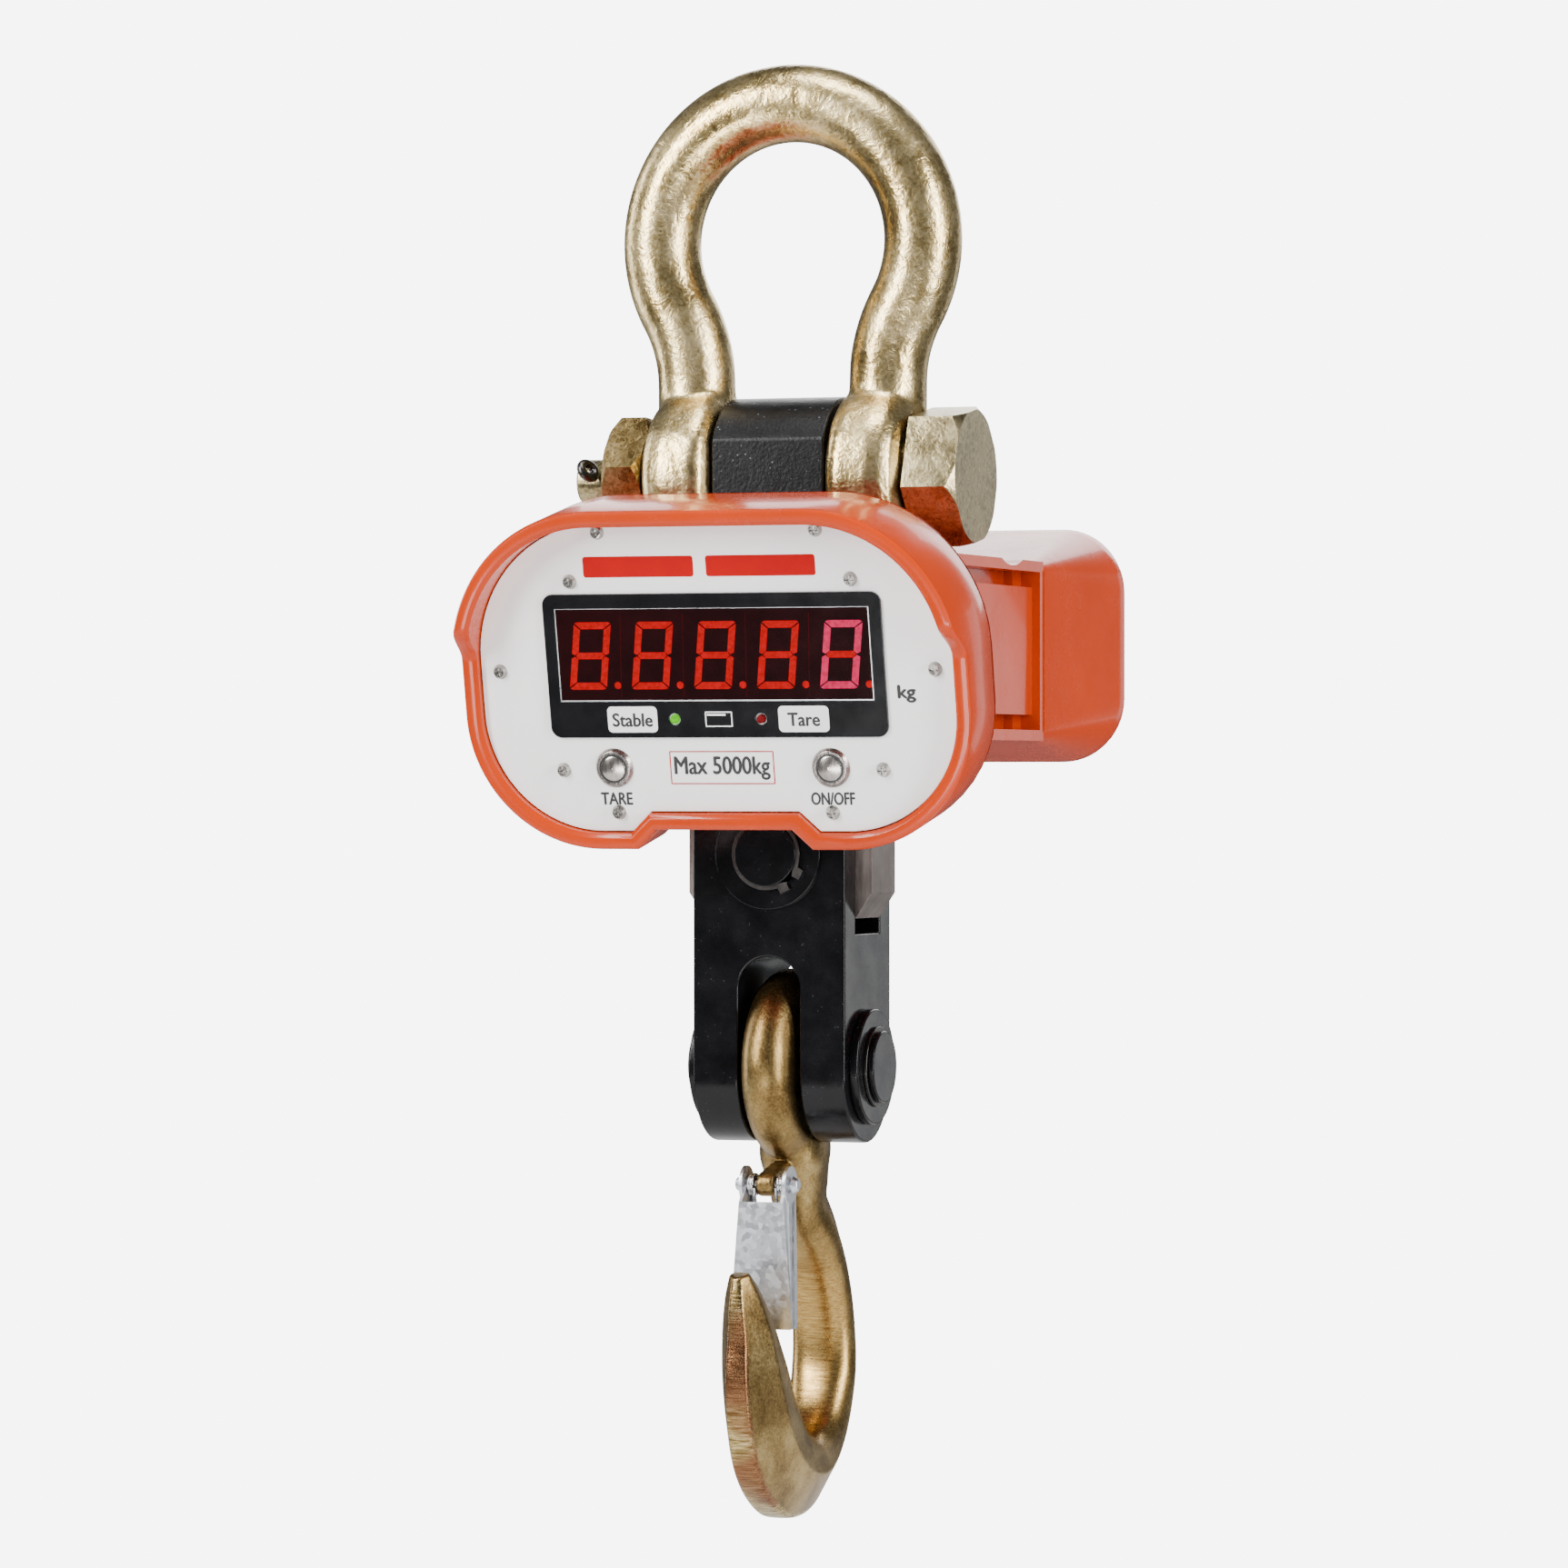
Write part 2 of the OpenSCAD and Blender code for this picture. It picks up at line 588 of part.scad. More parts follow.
module switch_body(x) {
    difference() {
        union() {
            on_face(x, button_y, panel_z) cylinder(r1 = ring_d / 2, r2 = ring_d / 2 - 1.4, h = 1.9);
            on_face(x, button_y, -26) cylinder(r = 7.9, h = 26 + panel_z + 0.5);
        }
        on_face(x, button_y, -14) cylinder(r = cap_r + 0.3, h = 30);
    }
}
module tare_switch_body() {
    color([0.65, 0.63, 0.6]) hung() switch_body(-button_x);
}
module power_switch_body() {
    color([0.65, 0.63, 0.6]) hung() switch_body(button_x);
}
module switch_nuts() {
    color([0.55, 0.53, 0.5]) hung() for (s = [-1, 1]) on_face(s * button_x, button_y, -11)
        difference() {
            cylinder(r = 11, h = 3, $fn = 6);
            translate([0, 0, -1]) cylinder(r = 7.95, h = 6);
        }
}
module button_cap(x) {
    on_face(x, button_y, -11) cylinder(r = cap_r, h = 11 + panel_z + 1.6);
    on_face(x, button_y, panel_z + 1.6) intersection() {
        translate([0, 0, -19.2]) sphere(r = 20.4);
        cylinder(r = cap_r - 0.3, h = 3);
    }
}
module tare_button() {
    color([0.72, 0.7, 0.67]) hung() button_cap(-button_x);
}
module power_button() {
    color([0.72, 0.7, 0.67]) hung() button_cap(button_x);
}
module main_board() {
    color([0.04, 0.28, 0.12]) hung() difference() {
        union() {
            box(-78, 78, 62, 63.6, -108, -52);
            box(-30, -8, 60, 62, -90, -72);
            box(20, 36, 56, 62, -100, -84);
        }
        for (x = [-74, 74], z = [-104, -56]) translate([x, 0, z]) along_y(55) cylinder(r = 1.6, h = 20);
    }
}
module board_standoffs() {
    color([0.7, 0.6, 0.3]) hung() for (x = [-42, 42], z = [-104, -56]) translate([x, 0, z])
        along_y(neck_back + wall) cylinder(r = 3, h = 62 - neck_back - wall);
}
module display_cable() {
    color([0.6, 0.6, 0.62]) hung() wire([[66, -89.8, -71.5], [69, -78, -71], [73, -64, -71], [74, -50, -74],
        [74, -20, -78], [74, 20, -80], [74, 44, -80], [72, 53, -80], [71, 58, -80],
        [71, 61.8, -80]], 5, 0.6);
}
module battery() {
    color([0.1, 0.1, 0.12]) hung() {
        box(-50.5, 50.5, 70, 117, -112, -44);
        for (x = [-36, 36]) box(x - 3, x + 3, 66, 70, -62, -56);
    }
}
module battery_bracket() {
    color([0.5, 0.5, 0.52]) hung() difference() {
        union() {
            box(-54, 54, 84, 102, -115.6, -42.4);
            for (s = [-1, 1]) box(s > 0 ? 50 : -62, s > 0 ? 62 : -50, 84, 102, -115.6, -114);
        }
        box(-50.5, 50.5, 60, 120, -112, -44);
    }
}
module battery_leads() {
    color([0.7, 0.05, 0.05]) hung() for (s = [-1, 1])
        wire([for (p = [[36, -59], [40, -60], [45, -62], [48, -66], [48, -70], [46, -74], [42, -77]])
            [s * p[0], lead_y, p[1]]], 1.1, 1.1);
}
module rear_outline(inset, y, h) {
    translate([0, y + h, (rear_top + rear_low) / 2]) rotate([90, 0, 0]) linear_extrude(height = h)
        polygon(round_rect(2 * (rear_half - inset), rear_top - rear_low - 2 * inset, 30 - inset));
}
module rear_cover() {
    color([1, 0.33, 0.05]) hung() difference() {
        rear_outline(2, rear_y + 1, 3.5);
        for (p = REAR_SCREWS) translate([p[0], 0, p[1]]) along_y(120) cylinder(r = 2.2, h = 30);
        translate([socket_x, 0, socket_z]) along_y(120) cylinder(r = 8.1, h = 30);
    }
}
module rear_gasket() {
    color([0.07, 0.07, 0.07]) hung() difference() {
        rear_outline(2.5, rear_y, 1);
        rear_outline(wall, rear_y - 1, 3);
    }
}
module rear_screws() {
    color([0.72, 0.72, 0.72]) hung() for (p = REAR_SCREWS) translate([p[0], 0, p[1]]) {
        along_y(rear_y - 12) cylinder(r = 1.65, h = 17);
        along_y(rear_y + 4.5) difference() {
            cylinder(r1 = screw_r, r2 = screw_r - 1, h = 2.2);
            for (a = [0, 90]) rotate([0, 0, a]) translate([-2, -0.45, 1.1]) cube([4, 0.9, 3]);
        }
    }
}
module charge_socket() {
    color([0.3, 0.3, 0.31]) hung() translate([socket_x, 0, socket_z]) difference() {
        union() {
            along_y(rear_y + 4.5) cylinder(r = 11, h = 2.4);
            along_y(rear_y - 11) cylinder(r = 8, h = 17);
            along_y(rear_y - 3.5) cylinder(r = 11, h = 3, $fn = 6);
        }
        along_y(rear_y - 5) cylinder(r = socket_bore_r, h = 30);
    }
}

// ---- yoke ----
module yoke() {
    color([0.045, 0.045, 0.05]) hung() difference() {
        union() {
            box(-yoke_w / 2, yoke_w / 2, -yoke_d / 2, yoke_d / 2, -274.2, yoke_top);
            translate([0, 0, -274.2]) along_x(-yoke_w / 2) cylinder(r = yoke_d / 2, h = yoke_w);
        }
        box(-60, 60, -slot_y / 2, slot_y / 2, load_slot_z, -100);
        box(-hook_slot / 2, hook_slot / 2, -60, 60, -330, hook_slot_z - hook_slot / 2);
        translate([0, 0, hook_slot_z - hook_slot / 2]) along_y(-60) cylinder(r = hook_slot / 2, h = 120);
        translate([0, 0, -yoke_pin_drop]) along_y(-60) cylinder(r = pin_r + 0.03, h = 120);
        translate([0, 0, -hook_pin_drop]) along_x(-60) cylinder(r = hook_pin_d / 2 + 0.03, h = 120);
    }
}
module yoke_pin() {
    color([0.05, 0.05, 0.05]) hung() pin_body(yoke_pin_drop, pin_r, yoke_d / 2 + 5.2);
}
module yoke_pin_washers() {
    color([0.05, 0.05, 0.05]) hung() translate([0, 0, -yoke_pin_drop])
        for (y = [-yoke_d / 2 - 2, yoke_d / 2]) along_y(y) disc_ring(25.4, pin_r + 0.1, 2);
}
module yoke_pin_rings() {
    color([0.12, 0.12, 0.12]) hung() pin_rings(yoke_pin_drop, pin_r, yoke_d / 2 + 5.2);
}
module hook_pin() {
    color([0.05, 0.05, 0.05]) hung() translate([0, 0, -hook_pin_drop]) difference() {
        along_x(-yoke_w / 2 - 8.6) cylinder(r = hook_pin_d / 2, h = yoke_w + 17.2);
        for (x = [-yoke_w / 2 - 6, yoke_w / 2 + 4.4]) along_x(x)
            disc_ring(hook_pin_d, hook_pin_d / 2 - 1.5, 1.6);
    }
}
module hook_pin_collars() {
    color([0.05, 0.05, 0.05]) hung() translate([0, 0, -hook_pin_drop])
        for (x = [-yoke_w / 2 - 4.3, yoke_w / 2]) along_x(x) disc_ring(26.6, hook_pin_d / 2 + 0.1, 4.3);
}
module hook_pin_rings() {
    color([0.12, 0.12, 0.12]) hung() translate([0, 0, -hook_pin_drop])
        for (x = [-yoke_w / 2 - 5.95, yoke_w / 2 + 4.45]) along_x(x)
            disc_ring(hook_pin_d / 2 + 2, hook_pin_d / 2 - 1.4, 1.5);
}

// ---- hook ----
// One ring of the hook's body: a slightly squared oval across the path. With wedge at 1, its outer
// half narrows evenly to a flat strip.
function hook_ring(q, t, wedge, sides = 18) = [for (k = [0:sides - 1])
    let(a = 360 * k / sides,
        out = sign(sin(a)) * pow(abs(sin(a)), 0.85),
        oval = pow(abs(cos(a)), 0.75),
        side = out > 0 ? (1 - wedge) * oval + wedge * (1 - (1 - hook_strip) * out) : oval,
        w = q[3] * sign(cos(a)) * side,
        d = q[2] * out)
    [w, q[0] - t[1] * d, q[1] + t[0] * d]];
hook_steps = 3;
hook_line = concat([for (i = [0:len(HOOK) - 2], s = [0:hook_steps - 1]) smooth(HOOK, i, s / hook_steps)],
    [HOOK[len(HOOK) - 1]]);
function hook_wedge(i) = max(0, min(1, (i / len(hook_line) - hook_round + 0.15) / 0.15));
module hook() {
    color([0.62, 0.47, 0.25]) hung() difference() {
        union() {
            translate([0, 0, -hook_pin_drop]) along_x(-hook_eye_t / 2) rotate_extrude()
                polygon(concat([[0, 0]],
                    arc(hook_eye_r - hook_eye_t / 2, hook_eye_t / 2, hook_eye_t / 2, -90, 90, 10),
                    [[0, hook_eye_t]]));
            swept([for (i = [0:len(hook_line) - 1])
                let(a = hook_line[max(i - 1, 0)], b = hook_line[min(i + 1, len(hook_line) - 1)],
                    t = unit([b[0] - a[0], b[1] - a[1]]))
                hook_ring(hook_line[i], t, hook_wedge(i))]);
            box(-4.2, 4.2, pivot_y, -2, pivot_z - 5.5, pivot_z + 7);
            translate([0, pivot_y, pivot_z]) along_x(-4.2) cylinder(r = 5.5, h = 8.4);
        }
        translate([0, 0, -hook_pin_drop]) along_x(-60)
            cylinder(r = hook_pin_d / 2 + run_gap, h = 120);
        translate([0, pivot_y, pivot_z]) along_x(-20) cylinder(r = 2.52, h = 40);
    }
}
module latch_pin() {
    color([0.75, 0.75, 0.76]) hung() translate([0, pivot_y, pivot_z]) {
        along_x(-13) cylinder(r = 2.5, h = 26);
        for (s = [0, 180]) rotate([0, 0, s]) along_x(12.4) cylinder(r1 = 4.2, r2 = 2.6, h = 2.8);
    }
}
module latch_side() {
    translate([9.3, 0, web_top]) rotate([0, -latch_spread, 0]) translate([0, 0, -web_top])
        rotate([90, 0, 90]) linear_extrude(height = 1.5)
            polygon([[web_y, web_top], [web_y, latch_low], [web_y + 7.5, latch_low],
                [pivot_y + 8.3, pivot_z - 4], [pivot_y + 8.3, pivot_z], [pivot_y - 4, pivot_z]]);
    translate([0, pivot_y, pivot_z]) along_x(9.8) cylinder(r = 8.5, h = 1.5);
}
module latch() {
    color([0.75, 0.76, 0.78]) hung() difference() {
        union() {
            translate([0, web_y + 1.5, 0]) rotate([90, 0, 0]) linear_extrude(height = 1.5)
                polygon([[-9.6, web_top], [9.6, web_top], [14, latch_low], [-14, latch_low]]);
            latch_side();
            mirror([1, 0, 0]) latch_side();
        }
        translate([0, pivot_y, pivot_z]) along_x(-20) cylinder(r = 2.56, h = 40);
    }
}
module latch_spring() {
    color([0.7, 0.7, 0.7]) hung() translate([0, pivot_y, pivot_z])
        for (x = [-7.6, -5.4, 5.4, 7.6]) along_x(x)
            rotate_extrude() translate([4.6, 0]) circle(r = 0.9, $fn = 24);
}

shackle_bow();
shackle_bolt();
shackle_nut();
cotter_pin();
hanger_block();
upper_pin();
upper_pin_rings();
load_cell();
load_cell_covers();
load_cell_cable();
front_housing();
side_boxes();
rear_housing();
case_screws();
case_spacers();
case_mount_bolts();
front_panel();
panel_gasket();
panel_screws();
display_bezel();
display_window();
digit_modules();
display_board();
display_standoffs();
steady_led();
tare_led();
tare_switch_body();
power_switch_body();
switch_nuts();
tare_button();
power_button();
main_board();
board_standoffs();
display_cable();
battery();
battery_bracket();
battery_leads();
rear_cover();
rear_gasket();
rear_screws();
charge_socket();
yoke();
yoke_pin();
yoke_pin_washers();
yoke_pin_rings();
hook_pin();
hook_pin_collars();
hook_pin_rings();
hook();
latch_pin();
latch();
latch_spring();
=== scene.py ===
"""Looks of the hanging crane scale: forged zinc shackle and hook, painted case, lit display.

Shapes are given in millimetres from the middle of the shackle's bolt, with +Z up and the display
facing -Y. place() turns them into the row frame.
"""
import json
import math

import bmesh
import bpy
import numpy as np
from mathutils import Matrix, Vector


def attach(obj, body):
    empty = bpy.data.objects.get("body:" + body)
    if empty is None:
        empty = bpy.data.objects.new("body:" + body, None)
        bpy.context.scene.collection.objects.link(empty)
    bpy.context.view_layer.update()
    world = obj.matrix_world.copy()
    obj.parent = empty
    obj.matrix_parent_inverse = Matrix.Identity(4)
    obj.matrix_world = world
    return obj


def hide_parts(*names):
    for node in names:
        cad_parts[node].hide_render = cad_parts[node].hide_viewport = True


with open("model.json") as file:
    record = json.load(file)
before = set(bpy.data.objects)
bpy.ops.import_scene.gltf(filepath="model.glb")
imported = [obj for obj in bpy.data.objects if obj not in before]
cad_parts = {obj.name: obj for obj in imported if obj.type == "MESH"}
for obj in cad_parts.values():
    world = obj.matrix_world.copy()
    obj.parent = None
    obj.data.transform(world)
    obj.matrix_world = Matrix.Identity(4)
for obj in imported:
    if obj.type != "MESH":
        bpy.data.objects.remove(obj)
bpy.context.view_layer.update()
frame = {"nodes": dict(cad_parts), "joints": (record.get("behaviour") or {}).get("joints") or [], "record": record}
NODES = frame["nodes"]
JOINTS = {joint["name"]: joint for joint in frame["joints"]}
BODIES = frame["record"]["behaviour"]["bodies"]
BODY_OF = {node: body for body, nodes in BODIES.items() for node in nodes}
SLOT_OF = {part["node"]: part["material_slot"] for part in frame["record"]["subparts"]}
BOLT_Z = JOINTS["shackle_pivot"]["pos_m"][2]
MM = 0.001


# ---- camera, lights and floor ----
VIEW_AZIMUTH = math.radians(20)
VIEW_DISTANCE = 3.15
VIEW_HEIGHT = -0.2964
VIEW_SIDESTEP = -0.0038
FIELD_WIDTH = 0.7245
SENSOR_WIDTH = 36
FLOOR_RADIUS = 1.0
FLOOR_Z = -0.78
WORLD_AS_LIGHT = 0.16
WORLD_AS_SEEN = 7.0


def make_camera():
    camera = bpy.data.objects.new("camera", bpy.data.cameras.new("camera"))
    bpy.context.scene.collection.objects.link(camera)
    camera.data.sensor_width = SENSOR_WIDTH
    camera.data.lens = SENSOR_WIDTH * VIEW_DISTANCE / FIELD_WIDTH
    camera.data.clip_end = 50
    sine, cosine = math.sin(VIEW_AZIMUTH), math.cos(VIEW_AZIMUTH)
    camera.location = (VIEW_DISTANCE * sine + VIEW_SIDESTEP * cosine,
                       -VIEW_DISTANCE * cosine + VIEW_SIDESTEP * sine, VIEW_HEIGHT)
    camera.rotation_euler = (math.pi / 2, 0, VIEW_AZIMUTH)
    bpy.context.scene.camera = camera


def area_light(name, azimuth, elevation, distance, width, height, power, colour=(1, 1, 1)):
    """A softbox that faces the middle of the object. Angles are in degrees, azimuth 0 is the front."""
    light = bpy.data.lights.new(name, "AREA")
    light.shape = "RECTANGLE"
    light.size = width
    light.size_y = height
    light.energy = power
    light.color = colour
    lamp = bpy.data.objects.new(name, light)
    bpy.context.scene.collection.objects.link(lamp)
    lamp.visible_camera = False
    a, e = math.radians(azimuth), math.radians(elevation)
    middle = Vector((0, 0, VIEW_HEIGHT))
    towards = Vector((math.sin(a) * math.cos(e), -math.cos(a) * math.cos(e), math.sin(e)))
    lamp.location = middle + distance * towards
    lamp.rotation_euler = (middle - lamp.location).to_track_quat("-Z", "Y").to_euler()


def make_world():
    """A pale studio: near white where it is seen directly, dim as a light."""
    world = bpy.data.worlds.new("studio")
    bpy.context.scene.world = world
    world.use_nodes = True
    tree = world.node_tree
    dim = tree.nodes["Background"]
    dim.inputs["Color"].default_value = (0.9, 0.95, 1.0, 1)
    dim.inputs["Strength"].default_value = WORLD_AS_LIGHT
    pale = tree.nodes.new("ShaderNodeBackground")
    pale.inputs["Color"].default_value = (1, 1, 1, 1)
    pale.inputs["Strength"].default_value = WORLD_AS_SEEN
    seen = tree.nodes.new("ShaderNodeLightPath")
    either = tree.nodes.new("ShaderNodeMixShader")
    tree.links.new(seen.outputs["Is Camera Ray"], either.inputs[0])
    tree.links.new(dim.outputs[0], either.inputs[1])
    tree.links.new(pale.outputs[0], either.inputs[2])
    tree.links.new(either.outputs[0], tree.nodes["World Output"].inputs["Surface"])


def make_studio():
    make_world()
    area_light("key", -36, 26, 2.3, 0.42, 1.7, 78, (1.0, 0.99, 0.97))
    area_light("fill", 70, 12, 2.2, 0.36, 1.9, 70, (1.0, 0.99, 0.98))
    area_light("side", -95, 10, 2.2, 0.3, 1.8, 18)
    area_light("front", 2, -24, 2.4, 1.3, 0.5, 34)
    area_light("top", 10, 78, 1.9, 0.9, 0.7, 26)
    area_light("back", 188, 24, 2.4, 1.6, 1.2, 30)
    area_light("wing", 156, 2, 2.4, 0.5, 1.1, 2.2)
    floor = plain_object("floor", *disc_mesh(FLOOR_RADIUS, FLOOR_Z))
    floor.data.materials.append(plain_material("floor_paper", (0.82, 0.82, 0.82), 0.7))


def disc_mesh(radius, z, sides=64):
    turn = [2 * math.pi * k / sides for k in range(sides)]
    return [(radius * math.cos(a), radius * math.sin(a), z) for a in turn], [list(range(sides))]


def plain_object(name, verts, faces):
    mesh = bpy.data.meshes.new(name)
    mesh.from_pydata(verts, [], faces)
    item = bpy.data.objects.new(name, mesh)
    bpy.context.scene.collection.objects.link(item)
    return item


# ---- materials ----
# Object coordinates are in metres, so a noise scale of 100 gives features of about 10 mm.
def material_tree(name):
    """A new material, its tree, its shader and the object coordinates."""
    material = bpy.data.materials.new(name)
    material.use_nodes = True
    tree = material.node_tree
    coordinates = tree.nodes.new("ShaderNodeTexCoord")
    return material, tree, tree.nodes["Principled BSDF"], coordinates.outputs["Object"]


def plain_material(name, colour, roughness):
    material, tree, shader, _ = material_tree(name)
    shader.inputs["Base Color"].default_value = (*colour, 1)
    shader.inputs["Roughness"].default_value = roughness
    return material


def noise(tree, where, scale, detail=3.0, roughness=0.5, distortion=0.0):
    node = tree.nodes.new("ShaderNodeTexNoise")
    node.inputs["Scale"].default_value = scale
    node.inputs["Detail"].default_value = detail
    node.inputs["Roughness"].default_value = roughness
    node.inputs["Distortion"].default_value = distortion
    tree.links.new(where, node.inputs["Vector"])
    return node.outputs["Fac"]


def cells(tree, where, scale, output="Distance"):
    node = tree.nodes.new("ShaderNodeTexVoronoi")
    node.inputs["Scale"].default_value = scale
    tree.links.new(where, node.inputs["Vector"])
    return node.outputs[output]


def stretched(tree, where, x, y, z):
    node = tree.nodes.new("ShaderNodeMapping")
    node.inputs["Scale"].default_value = (x, y, z)
    tree.links.new(where, node.inputs["Vector"])
    return node.outputs[0]


def ramp(tree, value, stops):
    node = tree.nodes.new("ShaderNodeValToRGB")
    for k, (at, colour) in enumerate(stops):
        stop = node.color_ramp.elements[k] if k < 2 else node.color_ramp.elements.new(at)
        stop.position = at
        stop.color = (*colour, 1) if len(colour) == 3 else colour
    tree.links.new(value, node.inputs[0])
    return node.outputs[0]


def spread(tree, value, low, high, start=0.0, end=1.0):
    node = tree.nodes.new("ShaderNodeMapRange")
    node.inputs["From Min"].default_value = start
    node.inputs["From Max"].default_value = end
    node.inputs["To Min"].default_value = low
    node.inputs["To Max"].default_value = high
    tree.links.new(value, node.inputs["Value"])
    return node.outputs[0]


def combine(tree, kind, first, second):
    node = tree.nodes.new("ShaderNodeMath")
    node.operation = kind
    for k, value in enumerate((first, second)):
        if isinstance(value, (int, float)):
            node.inputs[k].default_value = value
        else:
            tree.links.new(value, node.inputs[k])
    return node.outputs[0]


def scaled(tree, value, amount):
    return combine(tree, "MULTIPLY", value, amount)


def added(tree, first, second):
    return combine(tree, "ADD", first, second)


def blend_colours(tree, factor, first, second, kind="MIX"):
    node = tree.nodes.new("ShaderNodeMix")
    node.data_type = "RGBA"
    node.blend_type = kind
    if isinstance(factor, (int, float)):
        node.inputs[0].default_value = factor
    else:
        tree.links.new(factor, node.inputs[0])
    for k, value in ((6, first), (7, second)):
        if isinstance(value, tuple):
            node.inputs[k].default_value = (*value, 1)
        else:
            tree.links.new(value, node.inputs[k])
    return node.outputs[2]


def bump(tree, shader, height, strength, distance):
    node = tree.nodes.new("ShaderNodeBump")
    node.inputs["Strength"].default_value = strength
    node.inputs["Distance"].default_value = distance
    tree.links.new(height, node.inputs["Height"])
    tree.links.new(node.outputs[0], shader.inputs["Normal"])


def attribute(tree, name):
    node = tree.nodes.new("ShaderNodeAttribute")
    node.attribute_name = name
    return node.outputs["Fac"]


def forged_zinc(name, dark, mid, light, rough=(0.2, 0.32), grain=0.5, pitch=420):
    """Yellow-passivated forging: wrinkled scale under a thin bright plating, darker in the pits."""
    material, tree, shader, where = material_tree(name)
    patches = noise(tree, where, 38, 4, 0.6, 0.6)
    speckle = noise(tree, where, pitch * 2.2, 3, 0.6)
    wrinkles = noise(tree, where, pitch, 2, 0.5, 1.6)
    swells = noise(tree, where, pitch * 0.3, 2, 0.5, 0.8)
    shade = added(tree, scaled(tree, patches, 0.5), scaled(tree, wrinkles, 0.5))
    colour = ramp(tree, shade, [(0.34, dark), (0.47, mid), (0.62, light)])
    pits = ramp(tree, speckle, [(0.3, (0.35, 0.3, 0.25)), (0.42, (1, 1, 1))])
    tree.links.new(blend_colours(tree, 0.7, colour, pits, "MULTIPLY"), shader.inputs["Base Color"])
    tree.links.new(spread(tree, patches, rough[0], rough[1], 0.35, 0.65), shader.inputs["Roughness"])
    shader.inputs["Metallic"].default_value = 1
    height = added(tree, wrinkles, scaled(tree, swells, 2.6))
    height = added(tree, height, scaled(tree, speckle, 0.1))
    bump(tree, shader, height, grain, 0.0011)
    return material


def black_paint(name, dust=0.0, rough=0.15):
    """Semi-gloss black paint with orange peel and settled specks."""
    material, tree, shader, where = material_tree(name)
    haze = noise(tree, where, 60, 4, 0.6)
    base = ramp(tree, haze, [(0.35, (0.0025, 0.0025, 0.003)), (0.7, (0.0045, 0.0045, 0.006))])
    specks = cells(tree, where, 330)
    sparse = noise(tree, where, 120, 2)
    mark = combine(tree, "MULTIPLY", ramp(tree, specks, [(0.07, (1, 1, 1)), (0.15, (0, 0, 0))]),
                   ramp(tree, sparse, [(0.5, (0, 0, 0)), (0.58, (1, 1, 1))]))
    mark = scaled(tree, mark, 0.08 + dust)
    tree.links.new(blend_colours(tree, mark, base, (0.35, 0.36, 0.4)), shader.inputs["Base Color"])
    tree.links.new(spread(tree, haze, rough, rough + 0.1, 0.3, 0.7), shader.inputs["Roughness"])
    shader.inputs["Specular IOR Level"].default_value = 0.25
    peel = noise(tree, where, 700, 3, 0.5)
    bump(tree, shader, peel, 0.05 + dust * 0.5, 0.0005)
    return material


def case_paint(name, colour=(0.50, 0.037, 0.0002)):
    """Glossy orange enamel over a cast surface."""
    material, tree, shader, where = material_tree(name)
    tone = noise(tree, where, 16, 3, 0.5)
    darker = tuple(c * 0.88 for c in colour)
    tree.links.new(blend_colours(tree, spread(tree, tone, 0, 1, 0.35, 0.65), darker, colour),
                   shader.inputs["Base Color"])
    peel = added(tree, noise(tree, where, 150, 2, 0.4), scaled(tree, noise(tree, where, 40, 2), 1.5))
    tree.links.new(spread(tree, peel, 0.2, 0.3, 0.6, 1.8), shader.inputs["Roughness"])
    shader.inputs["Specular IOR Level"].default_value = 0.2
    shader.inputs["Coat Weight"].default_value = 0.22
    shader.inputs["Coat Roughness"].default_value = 0.06
    bump(tree, shader, peel, 0.04, 0.0015)
    return material


def nickel(name, dark, light, rough=(0.3, 0.42), streak=(60, 60, 900), strength=0.06):
    """Ground or satin metal with fine straight scratches."""
    material, tree, shader, where = material_tree(name)
    lines = noise(tree, stretched(tree, where, *streak), 1.0, 4, 0.6)
    tone = noise(tree, where, 45, 3)
    mixed = added(tree, scaled(tree, lines, 0.5), scaled(tree, tone, 0.5))
    tree.links.new(ramp(tree, mixed, [(0.38, dark), (0.62, light)]), shader.inputs["Base Color"])
    tree.links.new(spread(tree, lines, rough[0], rough[1], 0.3, 0.7), shader.inputs["Roughness"])
    shader.inputs["Metallic"].default_value = 1
    bump(tree, shader, lines, strength, 0.0004)
    return material


def spangled_zinc(name):
    """Bright zinc sheet with crystal spangle."""
    material, tree, shader, where = material_tree(name)
    crystals = cells(tree, where, 420, "Color")
    grey = tree.nodes.new("ShaderNodeRGBToBW")
    tree.links.new(crystals, grey.inputs[0])
    tree.links.new(ramp(tree, grey.outputs[0], [(0.2, (0.62, 0.64, 0.68)), (0.8, (0.76, 0.78, 0.82))]),
                   shader.inputs["Base Color"])
    tree.links.new(spread(tree, grey.outputs[0], 0.28, 0.42), shader.inputs["Roughness"])
    shader.inputs["Metallic"].default_value = 1
    bump(tree, shader, noise(tree, where, 500, 4, 0.6), 0.12, 0.0004)
    return material


def moulded(name, colour, rough=0.4, mottle=0.12, peel=0.05, scale=500, metallic=0.0, specular=0.5):
    """Paint or plastic of one colour with slight mottling and a fine surface texture."""
    material, tree, shader, where = material_tree(name)
    tone = noise(tree, where, 70, 4, 0.6)
    low = tuple(c * (1 - mottle) for c in colour)
    tree.links.new(blend_colours(tree, spread(tree, tone, 0, 1, 0.35, 0.65), low, colour),
                   shader.inputs["Base Color"])
    tree.links.new(spread(tree, tone, rough * 0.85, rough * 1.15, 0.3, 0.7), shader.inputs["Roughness"])
    shader.inputs["Metallic"].default_value = metallic
    shader.inputs["Specular IOR Level"].default_value = specular
    bump(tree, shader, noise(tree, where, scale, 3), peel, 0.0004)
    return material


